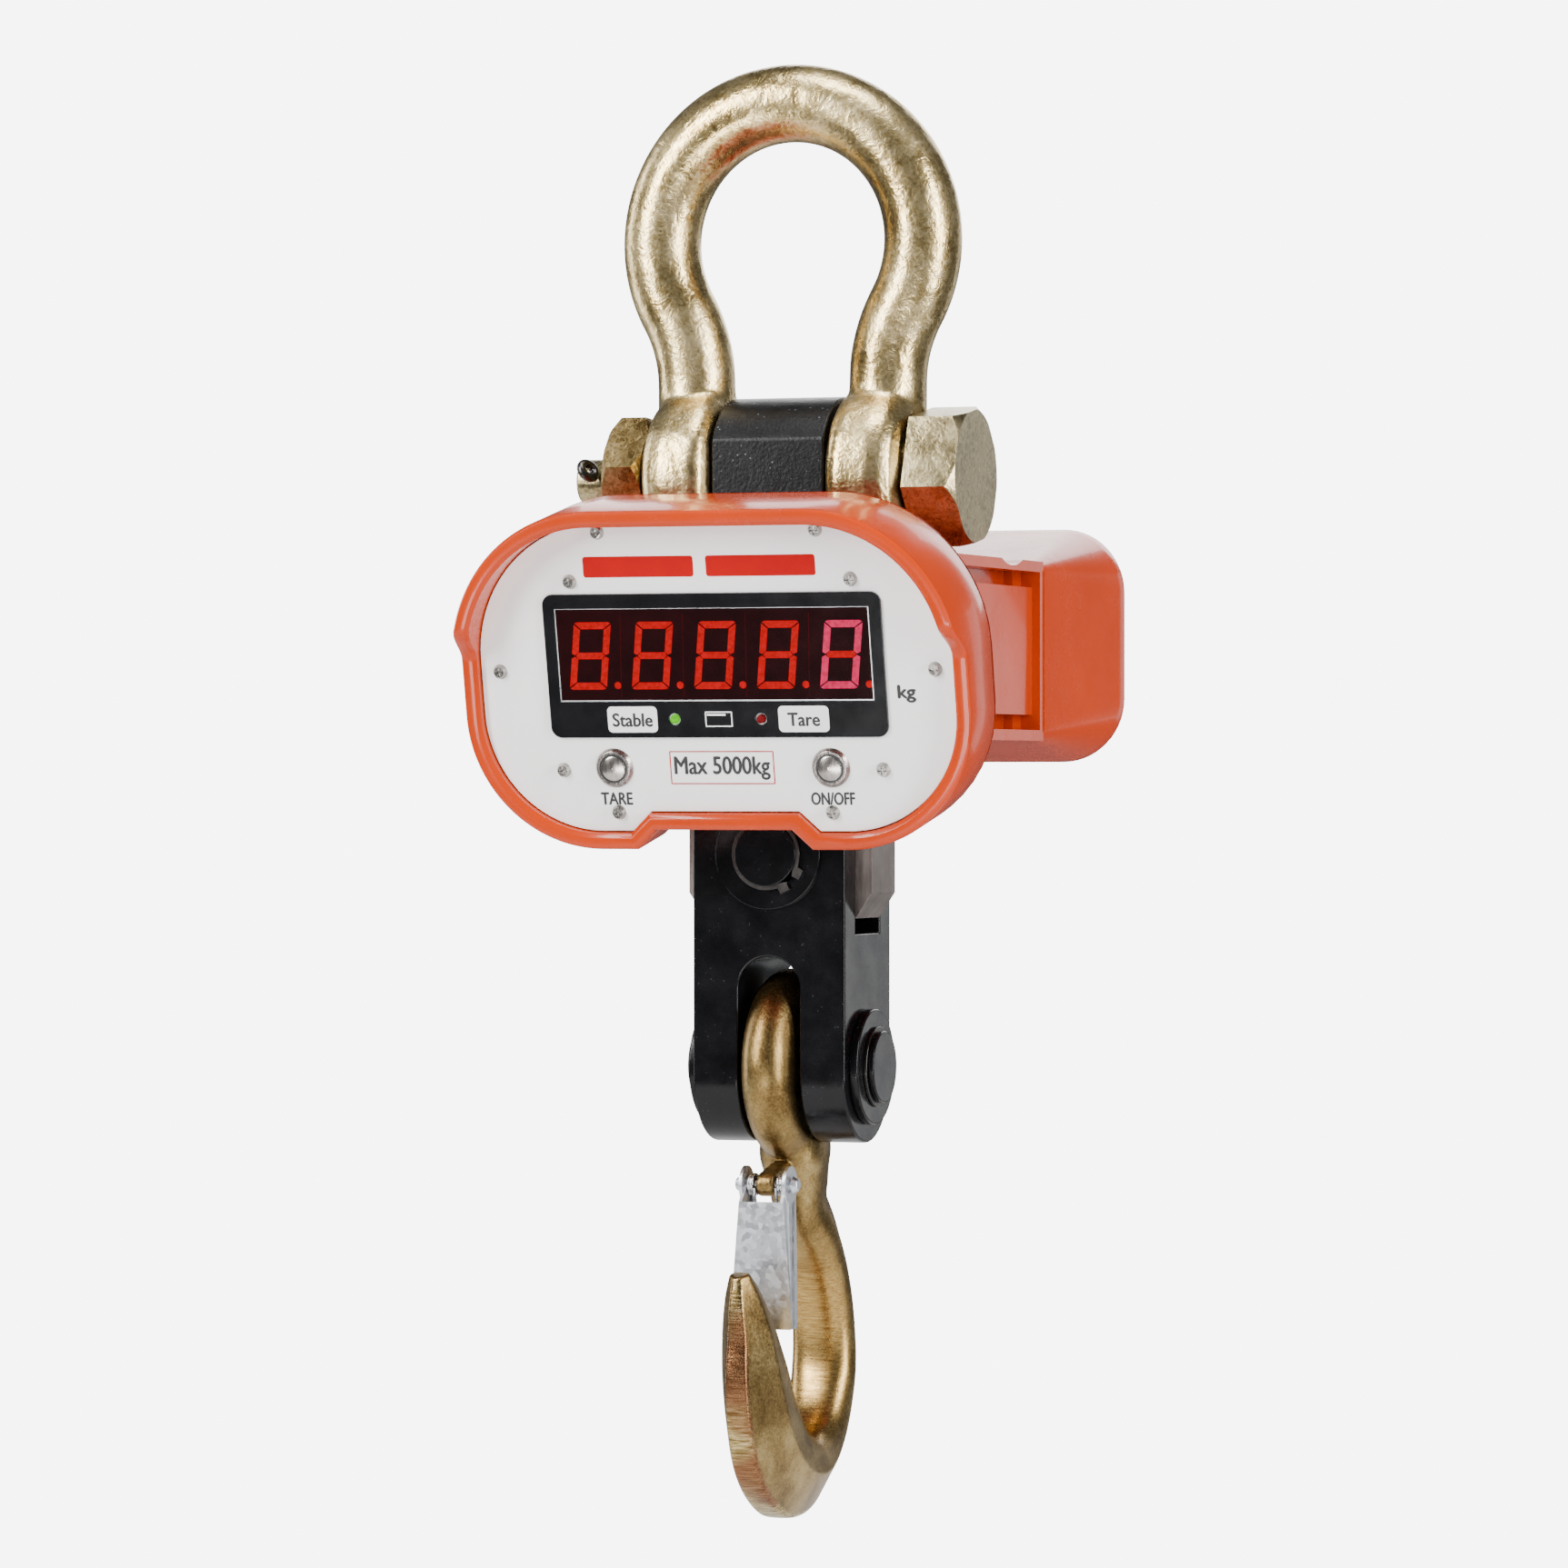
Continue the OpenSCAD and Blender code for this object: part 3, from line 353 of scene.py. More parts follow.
def lit(name, colour, strength, core=None):
    """Lit segment or lamp: a glow that falls off unevenly, as through a diffuser."""
    material, tree, shader, where = material_tree(name)
    grain = noise(tree, where, 600, 2)
    edge = tuple(c * 0.8 for c in colour)
    tree.links.new(blend_colours(tree, spread(tree, grain, 0, 1, 0.3, 0.7), edge, core or colour),
                   shader.inputs["Emission Color"])
    shader.inputs["Base Color"].default_value = (0, 0, 0, 1)
    shader.inputs["Emission Strength"].default_value = strength
    shader.inputs["Roughness"].default_value = 0.5
    shader.inputs["Specular IOR Level"].default_value = 0.05
    return material


def hook_zinc(name):
    """The hook's forging, with the ground strip along its outer edge and the worn bowl."""
    material, tree, shader, where = material_tree(name)
    strip = attribute(tree, "strip")
    bowl = attribute(tree, "bowl")
    patches = noise(tree, where, 45, 4, 0.6, 0.5)
    speckle = noise(tree, where, 900, 4, 0.7)
    wrinkles = noise(tree, where, 520, 4, 0.6, 0.8)
    shade = added(tree, scaled(tree, patches, 0.6), scaled(tree, speckle, 0.4))
    body = ramp(tree, shade, [(0.36, (0.11, 0.065, 0.02)), (0.5, (0.25, 0.165, 0.06)),
                              (0.64, (0.44, 0.32, 0.14))])
    scratches = noise(tree, stretched(tree, where, 90, 700, 1300), 1.0, 4, 0.7)
    gilt = ramp(tree, scratches, [(0.38, (0.12, 0.08, 0.02)), (0.5, (0.36, 0.26, 0.10)),
                                  (0.62, (0.68, 0.54, 0.28))])
    russet = ramp(tree, scratches, [(0.36, (0.13, 0.05, 0.02)), (0.64, (0.30, 0.15, 0.07))])
    worn_spots = ramp(tree, noise(tree, where, 22, 2, 0.4), [(0.44, (0, 0, 0)), (0.54, (1, 1, 1))])
    ground = blend_colours(tree, worn_spots, russet, gilt)
    smooth = ramp(tree, scratches, [(0.36, (0.28, 0.16, 0.045)), (0.64, (0.56, 0.37, 0.13))])
    colour = blend_colours(tree, bowl, body, smooth)
    tree.links.new(blend_colours(tree, strip, colour, ground), shader.inputs["Base Color"])
    worn = combine(tree, "MAXIMUM", strip, scaled(tree, bowl, 0.7))
    rough = spread(tree, speckle, 0.29, 0.41, 0.3, 0.7)
    tree.links.new(combine(tree, "SUBTRACT", rough, scaled(tree, worn, 0.08)), shader.inputs["Roughness"])
    shader.inputs["Metallic"].default_value = 1
    calm = combine(tree, "SUBTRACT", 1.0, worn)
    height = added(tree, scaled(tree, wrinkles, calm), scaled(tree, scratches, worn))
    bump(tree, shader, height, 0.2, 0.0008)
    return material


MATERIALS = {
    "bow_zinc": forged_zinc("bow_zinc", (0.36, 0.24, 0.085), (0.60, 0.45, 0.20), (0.80, 0.64, 0.35),
                            (0.24, 0.34), 0.2, 300),
    "bolt_zinc": forged_zinc("bolt_zinc", (0.20, 0.155, 0.075), (0.38, 0.31, 0.165), (0.56, 0.47, 0.28),
                             (0.28, 0.38), 0.14, 300),
    "nut_zinc": forged_zinc("nut_zinc", (0.13, 0.08, 0.025), (0.28, 0.19, 0.07), (0.46, 0.34, 0.16),
                            (0.28, 0.38), 0.14, 320),
    "dark_steel": moulded("dark_steel", (0.10, 0.095, 0.09), 0.3, 0.3, 0.1, 900, 1.0),
    "black_paint": black_paint("black_paint"),
    "dusty_paint": black_paint("dusty_paint", 0.5, 0.3),
    "cell_nickel": nickel("cell_nickel", (0.20, 0.165, 0.15), (0.32, 0.28, 0.26), (0.34, 0.46),
                          (300, 300, 40)),
    "cable_black": moulded("cable_black", (0.015, 0.015, 0.016), 0.55),
    "orange_case": case_paint("orange_case"),
    "bare_aluminium": nickel("bare_aluminium", (0.5, 0.5, 0.52), (0.68, 0.68, 0.7)),
    "screw_steel": nickel("screw_steel", (0.20, 0.185, 0.17), (0.46, 0.44, 0.41), (0.18, 0.28),
                          (400, 400, 400), 0.1),
    "panel_white": moulded("panel_white", (0.93, 0.92, 0.91), 0.4, 0.02, 0.04, 900),
    "gasket_rubber": moulded("gasket_rubber", (0.015, 0.015, 0.015), 0.7),
    "bezel_black": moulded("bezel_black", (0.006, 0.006, 0.007), 0.13, 0.3, 0.02, 900),
    "window_red": moulded("window_red", (0.012, 0.0004, 0.0008), 0.09, 0.4, 0.01, 300),
    "module_dark": moulded("module_dark", (0.02, 0.002, 0.002), 0.3),
    "board_green": moulded("board_green", (0.01, 0.12, 0.04), 0.35),
    "standoff_brass": nickel("standoff_brass", (0.5, 0.36, 0.13), (0.7, 0.55, 0.25)),
    "led_green": lit("led_green", (0.10, 0.75, 0.0), 1.0, (0.2, 1.0, 0.01)),
    "led_red": moulded("led_red", (0.16, 0.004, 0.006), 0.12, 0.5, 0.1, 400),
    "switch_steel": nickel("switch_steel", (0.13, 0.11, 0.10), (0.36, 0.32, 0.30), (0.2, 0.3),
                           (700, 700, 90), 0.1),
    "button_steel": nickel("button_steel", (0.22, 0.195, 0.18), (0.46, 0.42, 0.39), (0.2, 0.3),
                           (500, 500, 90), 0.06),
    "ribbon_grey": moulded("ribbon_grey", (0.4, 0.4, 0.42), 0.5),
    "battery_wrap": moulded("battery_wrap", (0.03, 0.03, 0.05), 0.3),
    "bracket_steel": nickel("bracket_steel", (0.4, 0.4, 0.42), (0.56, 0.56, 0.58)),
    "lead_red": moulded("lead_red", (0.42, 0.01, 0.01), 0.45),
    "socket_black": moulded("socket_black", (0.02, 0.02, 0.021), 0.3),
    "hook_zinc": hook_zinc("hook_zinc"),
    "latch_zinc": spangled_zinc("latch_zinc"),
    "spring_steel": nickel("spring_steel", (0.5, 0.5, 0.5), (0.75, 0.75, 0.76), (0.2, 0.3)),
    "print_black": moulded("print_black", (0.012, 0.012, 0.013), 0.45),
    "print_red": moulded("print_red", (0.42, 0.0, 0.002), 0.6, 0.1, specular=0.08),
    "print_white": moulded("print_white", (0.86, 0.86, 0.86), 0.4, 0.03),
    # Painted highlight along the inner edge of the display's black frame
    "painted_edge_highlight": moulded("painted_edge_highlight", (0.75, 0.75, 0.77), 0.3, 0.1, 0.05, 900, 1.0),
    "digit_red": lit("digit_red", (0.70, 0.0, 0.002), 1.0, (0.85, 0.002, 0.006)),
    "digit_pink": lit("digit_pink", (0.95, 0.022, 0.11), 1.0, (1.15, 0.04, 0.17)),
    "divider_red": lit("divider_red", (0.10, 0.0, 0.002), 1.0),
}


# ---- building helpers ----
def place(p):
    """Millimetres from the middle of the bolt, in the row frame's metres."""
    return Vector((p[0] * MM, p[1] * MM, p[2] * MM + BOLT_Z))


# Middle of the display face, and how far the face leans back
FACE_Y, FACE_Z = -105.5, -94
FACE_LEAN = 11.7
FACE_TURN = math.radians(90 + FACE_LEAN)


def on_face(x, y, z):
    """Face frame: x right, y up along the tilted face, z out of it."""
    sine, cosine = math.sin(FACE_TURN), math.cos(FACE_TURN)
    return (x, FACE_Y + y * cosine - z * sine, FACE_Z + y * sine + z * cosine)


def dress(item, material, body, nodes=()):
    item.data.materials.clear()
    item.data.materials.append(MATERIALS[material])
    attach(item, body)
    if nodes:
        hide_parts(*nodes)
    return item


ALL_SMOOTH = 180


def tidy_mesh(mesh, sharp):
    """Faces turned outwards, smooth shading, and edges sharper than an angle in degrees left sharp."""
    work = bmesh.new()
    work.from_mesh(mesh)
    bmesh.ops.recalc_face_normals(work, faces=work.faces)
    work.to_mesh(mesh)
    work.free()
    mesh.shade_smooth()
    mesh.set_sharp_from_angle(angle=math.radians(sharp))


def piece(name, verts, faces, material, body, slot, nodes=(), sharp=32):
    """A new piece from points in millimetres."""
    item = plain_object(name, [place(v) for v in verts], faces)
    tidy_mesh(item.data, sharp)
    return dress(item, material, body, nodes)


def bevel(item, width, segments=2, angle=32):
    edge = item.modifiers.new("edges", "BEVEL")
    edge.width = width * MM
    edge.segments = segments
    edge.limit_method = "ANGLE"
    edge.angle_limit = math.radians(angle)
    edge.harden_normals = True
    edge.use_clamp_overlap = True


WELD_M = 1e-6
FLAT_DEGREES = 0.6


def refined(node, width, segments=2, material=None, angle=32, cut=None):
    """The CAD node with its vertices welded, flat faces joined and edges rounded."""
    work = bmesh.new()
    work.from_mesh(NODES[node].data)
    bmesh.ops.remove_doubles(work, verts=work.verts, dist=WELD_M)
    if cut:
        cut(work)
    bmesh.ops.dissolve_limit(work, angle_limit=math.radians(FLAT_DEGREES), verts=work.verts,
                             edges=work.edges)
    mesh = bpy.data.meshes.new(node + "_fine")
    work.to_mesh(mesh)
    work.free()
    item = bpy.data.objects.new(node + "_fine", mesh)
    bpy.context.scene.collection.objects.link(item)
    tidy_mesh(mesh, angle)
    if width:
        bevel(item, width, segments, angle)
    return dress(item, material or SLOT_OF[node], BODY_OF[node], [node])


def loops_to_faces(count, sides):
    faces = []
    for k in range(count - 1):
        for i in range(sides):
            j = (i + 1) % sides
            faces.append([k * sides + i, k * sides + j, (k + 1) * sides + j, (k + 1) * sides + i])
    return faces


def lofted(loops, capped=True):
    """Points and faces of a skin through loops with the same number of points."""
    sides = len(loops[0])
    verts = [p for loop in loops for p in loop]
    faces = loops_to_faces(len(loops), sides)
    if capped:
        faces.append(list(range(sides - 1, -1, -1)))
        faces.append([(len(loops) - 1) * sides + i for i in range(sides)])
    return verts, faces


def turned(profile, steps=96):
    """Loops of a solid of revolution about X, from (x, radius) pairs."""
    turn = [2 * math.pi * k / steps for k in range(steps)]
    return [[(x, radius * math.cos(a), radius * math.sin(a)) for a in turn] for x, radius in profile]


def tube(path, radius, sides=12):
    """Loops of a round wire along a path of points in millimetres."""
    turn = [2 * math.pi * i / sides for i in range(sides)]
    loops = []
    side = None
    for k, p in enumerate(path):
        ahead = (Vector(path[min(k + 1, len(path) - 1)]) - Vector(path[max(k - 1, 0)])).normalized()
        if side is None:
            side = ahead.orthogonal().normalized()
        side = (side - ahead * side.dot(ahead)).normalized()
        other = ahead.cross(side)
        loops.append([tuple(Vector(p) + radius * (side * math.cos(a) + other * math.sin(a)))
                      for a in turn])
    return loops


def arc(cx, cy, radius, start, end, steps):
    """Points of an arc between two angles in degrees."""
    turn = [math.radians(start + (end - start) * k / steps) for k in range(steps + 1)]
    return [(cx + radius * math.cos(a), cy + radius * math.sin(a)) for a in turn]


def rounded_box(width, height, radius, steps=8):
    """Outline of a rectangle with round corners, around its middle."""
    w, h = width / 2 - radius, height / 2 - radius
    return (arc(w, h, radius, 0, 90, steps) + arc(-w, h, radius, 90, 180, steps)
            + arc(-w, -h, radius, 180, 270, steps) + arc(w, -h, radius, 270, 360, steps))


def applied(item):
    """Replaces an object's mesh with its modified one."""
    graph = bpy.context.evaluated_depsgraph_get()
    mesh = bpy.data.meshes.new_from_object(item.evaluated_get(graph))
    item.modifiers.clear()
    item.data = mesh
    return mesh


def fused(name, solids, voxel, passes):
    """One skin over several closed solids, smoothed where they meet."""
    verts, faces = [], []
    for part_verts, part_faces in solids:
        start = len(verts)
        verts += [place(v) for v in part_verts]
        faces += [[start + i for i in face] for face in part_faces]
    item = plain_object(name, verts, faces)
    tidy_mesh(item.data, ALL_SMOOTH)
    skin = item.modifiers.new("skin", "REMESH")
    skin.mode = "VOXEL"
    skin.voxel_size = voxel * MM
    skin.use_smooth_shade = True
    ease = item.modifiers.new("ease", "SMOOTH")
    ease.factor = 0.5
    ease.iterations = passes
    applied(item)
    return item


def eased(item, weight, passes):
    """More smoothing where weight(x, y, z), in millimetres from the bolt, is high."""
    group = item.vertex_groups.new(name="ease")
    for vertex in item.data.vertices:
        amount = weight(vertex.co.x / MM, vertex.co.y / MM, (vertex.co.z - BOLT_Z) / MM)
        if amount > 0:
            group.add([vertex.index], min(1, amount), "REPLACE")
    ease = item.modifiers.new("ease", "SMOOTH")
    ease.factor = 0.5
    ease.iterations = passes
    ease.vertex_group = "ease"
    applied(item)
    item.vertex_groups.clear()


def step_between(low, high, value):
    """A smooth step from 0 at low to 1 at high."""
    t = max(0.0, min(1.0, (value - low) / (high - low)))
    return t * t * (3 - 2 * t)


# ---- shackle ----
BAR_R, CROWN_R, CROWN_Z = 18, 64, 109.5
LEG_X, LEG_TOP = 47, 44
EYE_IN, EYE_OUT, EYE_R, BOLT_R = 28.5, 62.5, 42, 19
EYE_PLAY = 0.7
# Width and height of the rounded corners of an eye, in the jaw and outside
JAW_CORNER, OUTER_CORNER = (8, 9), (15, 11)
# The legs lose this share of their thickness between two heights above the bolt
LEG_SLIM, SLIM_FROM, SLIM_TO = 0.19, 30, 8
THREAD_R, THREAD_ROOT_R, THREAD_PITCH = 17.4, 16.3, 1.81


def bow_path():
    """Centre line of the bow: legs, necks that curve outwards, and the round crown."""
    drop = CROWN_Z - LEG_TOP
    neck = (CROWN_R ** 2 - LEG_X ** 2 - drop ** 2) / (2 * (LEG_X - CROWN_R))
    lean = math.degrees(math.atan2(drop, LEG_X + neck))
    half = [(LEG_X, z) for z in (2, 8, 14, 20, 26, 32, 38)]
    half += arc(LEG_X + neck, LEG_TOP, neck, 180, 180 - lean, 16)
    half += arc(0, CROWN_Z, CROWN_R, 360 - lean, 450, 48)[1:]
    return half + [(-x, z) for x, z in reversed(half[:-1])]


def bow_bar():
    path = [(x, 0, z) for x, z in bow_path()]
    loops = tube(path, BAR_R, 48)
    for loop, p in zip(loops, path):
        if p[2] < SLIM_FROM:
            share = 1 - LEG_SLIM * step_between(SLIM_FROM, SLIM_TO, p[2])
            loop[:] = [(p[0] + (q[0] - p[0]) * share, q[1] * share, q[2]) for q in loop]
    return lofted(loops)


def bow_eye(side):
    """The ring at the left (-1) or right (1) end of the bow."""
    width, height = JAW_CORNER
    profile = [(EYE_IN, BOLT_R + EYE_PLAY), (EYE_IN, EYE_R - height)]
    profile += [(EYE_IN + width - width * math.cos(a), EYE_R - height + height * math.sin(a))
                for a in (0.4, 0.8, 1.2, 1.57)]
    width, height = OUTER_CORNER
    profile += [(EYE_OUT - width + width * math.sin(a), EYE_R - height + height * math.cos(a))
                for a in (0.2, 0.6, 1.0, 1.57)]
    profile += [(EYE_OUT, BOLT_R + EYE_PLAY)]
    ring = turned([(side * x, r) for x, r in profile])
    return lofted(ring + [ring[0]], False)


def root_weight(x, y, z):
    """1 where the legs grow out of the eyes, 0 in the jaw and further up the legs."""
    return step_between(58, 46, z) * step_between(20, 34, z)


def make_bow():
    bow = fused("bow_forging", [bow_bar(), bow_eye(-1), bow_eye(1)], voxel=1.15, passes=6)
    eased(bow, root_weight, passes=45)
    return dress(bow, "bow_zinc", "shackle", ["shackle_bow"])


def make_thread():
    """The thread that shows on both sides of the nut, as rings with a V groove each."""
    for name, start, turns in (("thread_outer", -86.5, 2), ("thread_inner", -66.5, 4)):
        profile = []
        for k in range(turns):
            x = start + THREAD_PITCH * k
            profile += [(x, THREAD_R), (x + 0.9, THREAD_ROOT_R), (x + 1.8, THREAD_R)]
        piece(name, *lofted(turned(profile, 64)), "bolt_zinc", "shackle", "bolt_zinc", sharp=60)


def make_shackle():
    make_bow()
    refined("shackle_bolt", 0.9, 3)
    refined("shackle_nut", 0.8, 3)
    refined("cotter_pin", 0.2, 1)
    make_thread()


# ---- hanger, load cell and yoke ----
def make_chain():
    refined("hanger_block", 1.0, 3, "dusty_paint", angle=15)
    refined("upper_pin", 0.8)
    refined("upper_pin_rings", 0.2, 1)
    refined("load_cell", 1.6, 3)
    refined("load_cell_covers", 0.4)
    refined("yoke", 2.2, 4)
    refined("yoke_pin", 1.0, 3)
    refined("yoke_pin_washers", 0.5)
    refined("yoke_pin_rings", 0.2, 1)
    refined("hook_pin", 1.2, 3)
    refined("hook_pin_collars", 0.9, 3)
    refined("hook_pin_rings", 0.3, 2)


# ---- case ----
FACE_W, FACE_H, TOP_R, LOW_R, RIM = 242, 157, 70, 62, 7.4
DEPTH = 36
# How far the visor stands forward, and the heights between which it does so
VISOR, VISOR_LOW, VISOR_HIGH = 12, 9.5, 25
# The notch at the bottom of the face: its half width at the top and at the bottom, and its height
NOTCH_TOP, NOTCH_LOW, NOTCH_H = 32.5, 42, 9
# Depths behind the rim, along the face's own z
LEDGE, LEDGE_BACK, PANEL_FRONT, PANEL_BACK = -8.8, -13, -5, -8
LEDGE_INSET = 14
# How far the fine shells overlap the CAD walls that are kept between them
FRONT_OVERLAP, REAR_OVERLAP = 0.4, 0.1
# The rear housing at its front and at its back: y, half width, bottom, top and corner radius
REAR_FRONT = np.array((46.2, 107.4, -121, -38, 6))
REAR_BACK = np.array((129.2, 120.5, -130.5, -20, 30))
REAR_STEPS = 14
REAR_EDGE = ((130.4, 120.3, -130.3, -20.2, 30), (131, 119.6, -129.6, -20.9, 29.4))
COVER = ((132, 118.5, -128.5, -22, 28), (134.6, 118.5, -128.5, -22, 28),
         (135.2, 118.2, -128.2, -22.3, 27.8), (135.5, 117.5, -127.5, -23, 27.2))
# The charging socket's hole: x, z and radius, and the stretch of y that it is cut over
SOCKET, SOCKET_CUT = (60, -75, 8.1), (115, 140)


def rim_outline(inset, steps=40):
    """Outline of the face, drawn in by an inset."""
    hx, hy = FACE_W / 2, FACE_H / 2
    k = inset * math.tan(math.atan2(NOTCH_H, NOTCH_LOW - NOTCH_TOP) / 2)
    points = arc(hx - TOP_R, hy - TOP_R, TOP_R - inset, 90, 0, steps)
    points += arc(hx - LOW_R, LOW_R - hy, LOW_R - inset, 0, -90, steps)
    points += [(NOTCH_LOW + k, inset - hy), (NOTCH_TOP + k, inset - hy + NOTCH_H)]
    points += [(-NOTCH_TOP - k, inset - hy + NOTCH_H), (-NOTCH_LOW - k, inset - hy)]
    points += arc(LOW_R - hx, LOW_R - hy, LOW_R - inset, 270, 180, steps)
    points += arc(TOP_R - hx, hy - TOP_R, TOP_R - inset, 180, 90, steps)
    return points


def front_edge(y):
    """How far the rim stands forward at height y: the visor's step."""
    return VISOR * step_between(VISOR_LOW, VISOR_HIGH, y)


def make_front_housing():
    """The skin over the back edge, the side, the rim and the ledge under the panel.

    Each station is an inset and a depth; the rim's depths are measured from the visor's edge.
    """
    outside = [(2.2, -DEPTH), (0.6, 0.5 - DEPTH), (0, 2 - DEPTH), (0, -DEPTH / 2)]
    rim = [(0, -2.2), (0.35, -0.9), (1.1, -0.25), (2.2, 0)]
    rim += [(RIM - 2.0, 0), (RIM - 1.7, -0.15), (RIM, -1.7)]
    inside = [(RIM, LEDGE), (LEDGE_INSET, LEDGE), (LEDGE_INSET, LEDGE_BACK)]
    loops = []
    for stations, visor in ((outside, 0), (rim, 1), (inside, 0)):
        for inset, depth in stations:
            loops.append([on_face(x, y, depth + visor * front_edge(y)) for x, y in rim_outline(inset)])
    piece("case_front", *lofted(loops), "orange_case", "scale_body", "orange_case", ["front_housing"], 28)


def cut_past(work, corner, normal):
    """Removes what lies past a plane."""
    everything = work.verts[:] + work.edges[:] + work.faces[:]
    bmesh.ops.bisect_plane(work, geom=everything, plane_co=corner, plane_no=normal, clear_outer=True)


def behind_front(work):
    """Cuts the CAD front housing down to the wall of the well behind it."""
    outwards = Vector(on_face(0, 0, 1)) - Vector(on_face(0, 0, 0))
    cut_past(work, place(on_face(0, 0, FRONT_OVERLAP - DEPTH)), outwards)


def before_rear(work):
    """Cuts the CAD rear housing down to the wall of the well in front of it."""
    cut_past(work, place((0, REAR_FRONT[0] + REAR_OVERLAP, 0)), (0, 1, 0))


def rear_loop(y, half, low, high, radius):
    return [(x, y, (low + high) / 2 + z) for x, z in rounded_box(2 * half, high - low, radius, 14)]


def drilled(item, x, z, radius, sharp):
    """Cuts a round hole along Y through a piece of the rear housing."""
    turn = [math.radians(5 * k) for k in range(72)]
    verts, faces = lofted([[(x + radius * math.cos(a), y, z + radius * math.sin(a)) for a in turn]
                           for y in SOCKET_CUT])
    cutter = plain_object("cutter", [place(v) for v in verts], faces)
    tidy_mesh(cutter.data, ALL_SMOOTH)
    hole = item.modifiers.new("hole", "BOOLEAN")
    hole.operation = "DIFFERENCE"
    hole.object = cutter
    applied(item)
    bpy.data.objects.remove(cutter)
    tidy_mesh(item.data, sharp)


def make_rear_housing():
    flare = [REAR_FRONT + (REAR_BACK - REAR_FRONT) * k / REAR_STEPS for k in range(REAR_STEPS + 1)]
    flare += REAR_EDGE
    shells = (("case_rear", flare, "rear_housing"), ("rear_cover_fine", COVER, "rear_cover"))
    for name, stations, node in shells:
        verts, faces = lofted([rear_loop(*station) for station in stations])
        shell = piece(name, verts, faces, "orange_case", "scale_body", "orange_case", [node], 50)
        drilled(shell, *SOCKET, 50)


def make_case():
    make_front_housing()
    refined("front_housing", 1.2, 3, cut=behind_front)
    refined("side_boxes", 1.6, 3)
    refined("rear_housing", 0.8, 2, cut=before_rear)
    make_rear_housing()
    refined("rear_gasket", 0)
    refined("rear_screws", 0.25)
    refined("charge_socket", 0.5)
    refined("panel_gasket", 0)


# ---- display panel ----
def drawn_in(outline, amount):
    """An outline with each point moved towards the middle by an amount."""
    cx = sum(x for x, _ in outline) / len(outline)
    cy = sum(y for _, y in outline) / len(outline)
    points = []
    for x, y in outline:
        share = amount / math.hypot(x - cx, y - cy)
        points.append((x + (cx - x) * share, y + (cy - y) * share))
    return points


def flat_piece(name, outline, low, high, material, slot="panel_white", nodes=(), edge=0.25):
    """A plate on the face between two depths, with a small bevel along its front edge."""
    loops = []
    for points, z in ((outline, low), (outline, high - edge), (drawn_in(outline, edge), high)):
        loops.append([on_face(x, y, z) for x, y in points])
    return piece(name, *lofted(loops), material, "scale_body", slot, nodes)


def moved(outline, x, y):
    return [(px + x, py + y) for px, py in outline]


def frame_piece(name, width, height, radius, line, x, y, low, high, material, slot):
    """A thin raised line around a rounded rectangle."""
    outer = moved(rounded_box(width, height, radius, 4), x, y)
    inner = moved(rounded_box(width - 2 * line, height - 2 * line, max(0.05, radius - line), 4), x, y)
    loops = []
    for points, z in ((outer, low), (outer, high), (inner, high), (inner, low)):
        loops.append([on_face(px, py, z) for px, py in points])
    return piece(name, *lofted(loops + [loops[0]], False), material, "scale_body", slot)


# Print is four copies of a word, each shifted by a share of its weight, in layers one above the other
PRINT_COPIES = ((-0.5, 0), (0.5, 0), (0, 0.35), (0, -0.35))
PRINT_LAYER = 0.01


def lettering(name, words, size, x, y, z, material, width, weight=0.3):
    """Print centred at x, y on the face, squeezed to a width and thickened by its weight."""
    curve = bpy.data.curves.new(name, "FONT")
    curve.body = words
    curve.size = size
    curve.resolution_u = 4
    source = bpy.data.objects.new(name, curve)
    bpy.context.scene.collection.objects.link(source)
    graph = bpy.context.evaluated_depsgraph_get()
    graph.update()
    flat = bpy.data.meshes.new_from_object(source.evaluated_get(graph))
    bpy.data.objects.remove(source)
    points = np.array([v.co[:] for v in flat.vertices])
    low, high = points.min(0), points.max(0)
    stretch = (width - weight) / (high[0] - low[0])
    middle = (low + high) / 2
    verts, faces = [], []
    for k, (dx, dy) in enumerate(PRINT_COPIES):
        start = len(verts)
        for px, py, _ in points:
            across = (px - middle[0]) * stretch + x + dx * weight
            up = py - middle[1] + y + dy * weight
            verts.append(place(on_face(across, up, z + PRINT_LAYER * k)))
        faces += [[start + i for i in polygon.vertices] for polygon in flat.polygons]
    return dress(plain_object(name, verts, faces), material, "scale_body")


DIGITS, DIGIT_PITCH, DIGIT_W, DIGIT_H, STROKE = 5, 30, 18.0, 31, 3.3
SLANT = math.tan(math.radians(8))
DIGITS_ASIDE, SEGMENT_GAP = 0.8, 0.28
DOT_X, DOT_DROP, DOT_R = 12.3, 13.6, 1.7
# The faint line between two digit modules
JOINT_HALF_W, JOINT_HALF_H, JOINT_ASIDE, JOINT_SLANT = 0.13, 19, 0.3, 0.4
WINDOW_Y, LED_Y, BUTTON_X, BUTTON_Y = 10.2, -19, 51.9, -41.5
# Depths of the glass and of the black frame's front, and heights of the printed rows
GLASS, BEZEL_FRONT = -3.97, PANEL_FRONT + 1.2
TITLE_Y, BUTTON_WORDS_Y = 50.6, -55.6


def rectangle(x, y, half_width, half_height):
    return [(x + across * half_width, y + up * half_height)
            for across, up in ((-1, -1), (1, -1), (1, 1), (-1, 1))]


def mirrored(outline, across, up):
    return [(across * x, up * y) for x, y in outline]


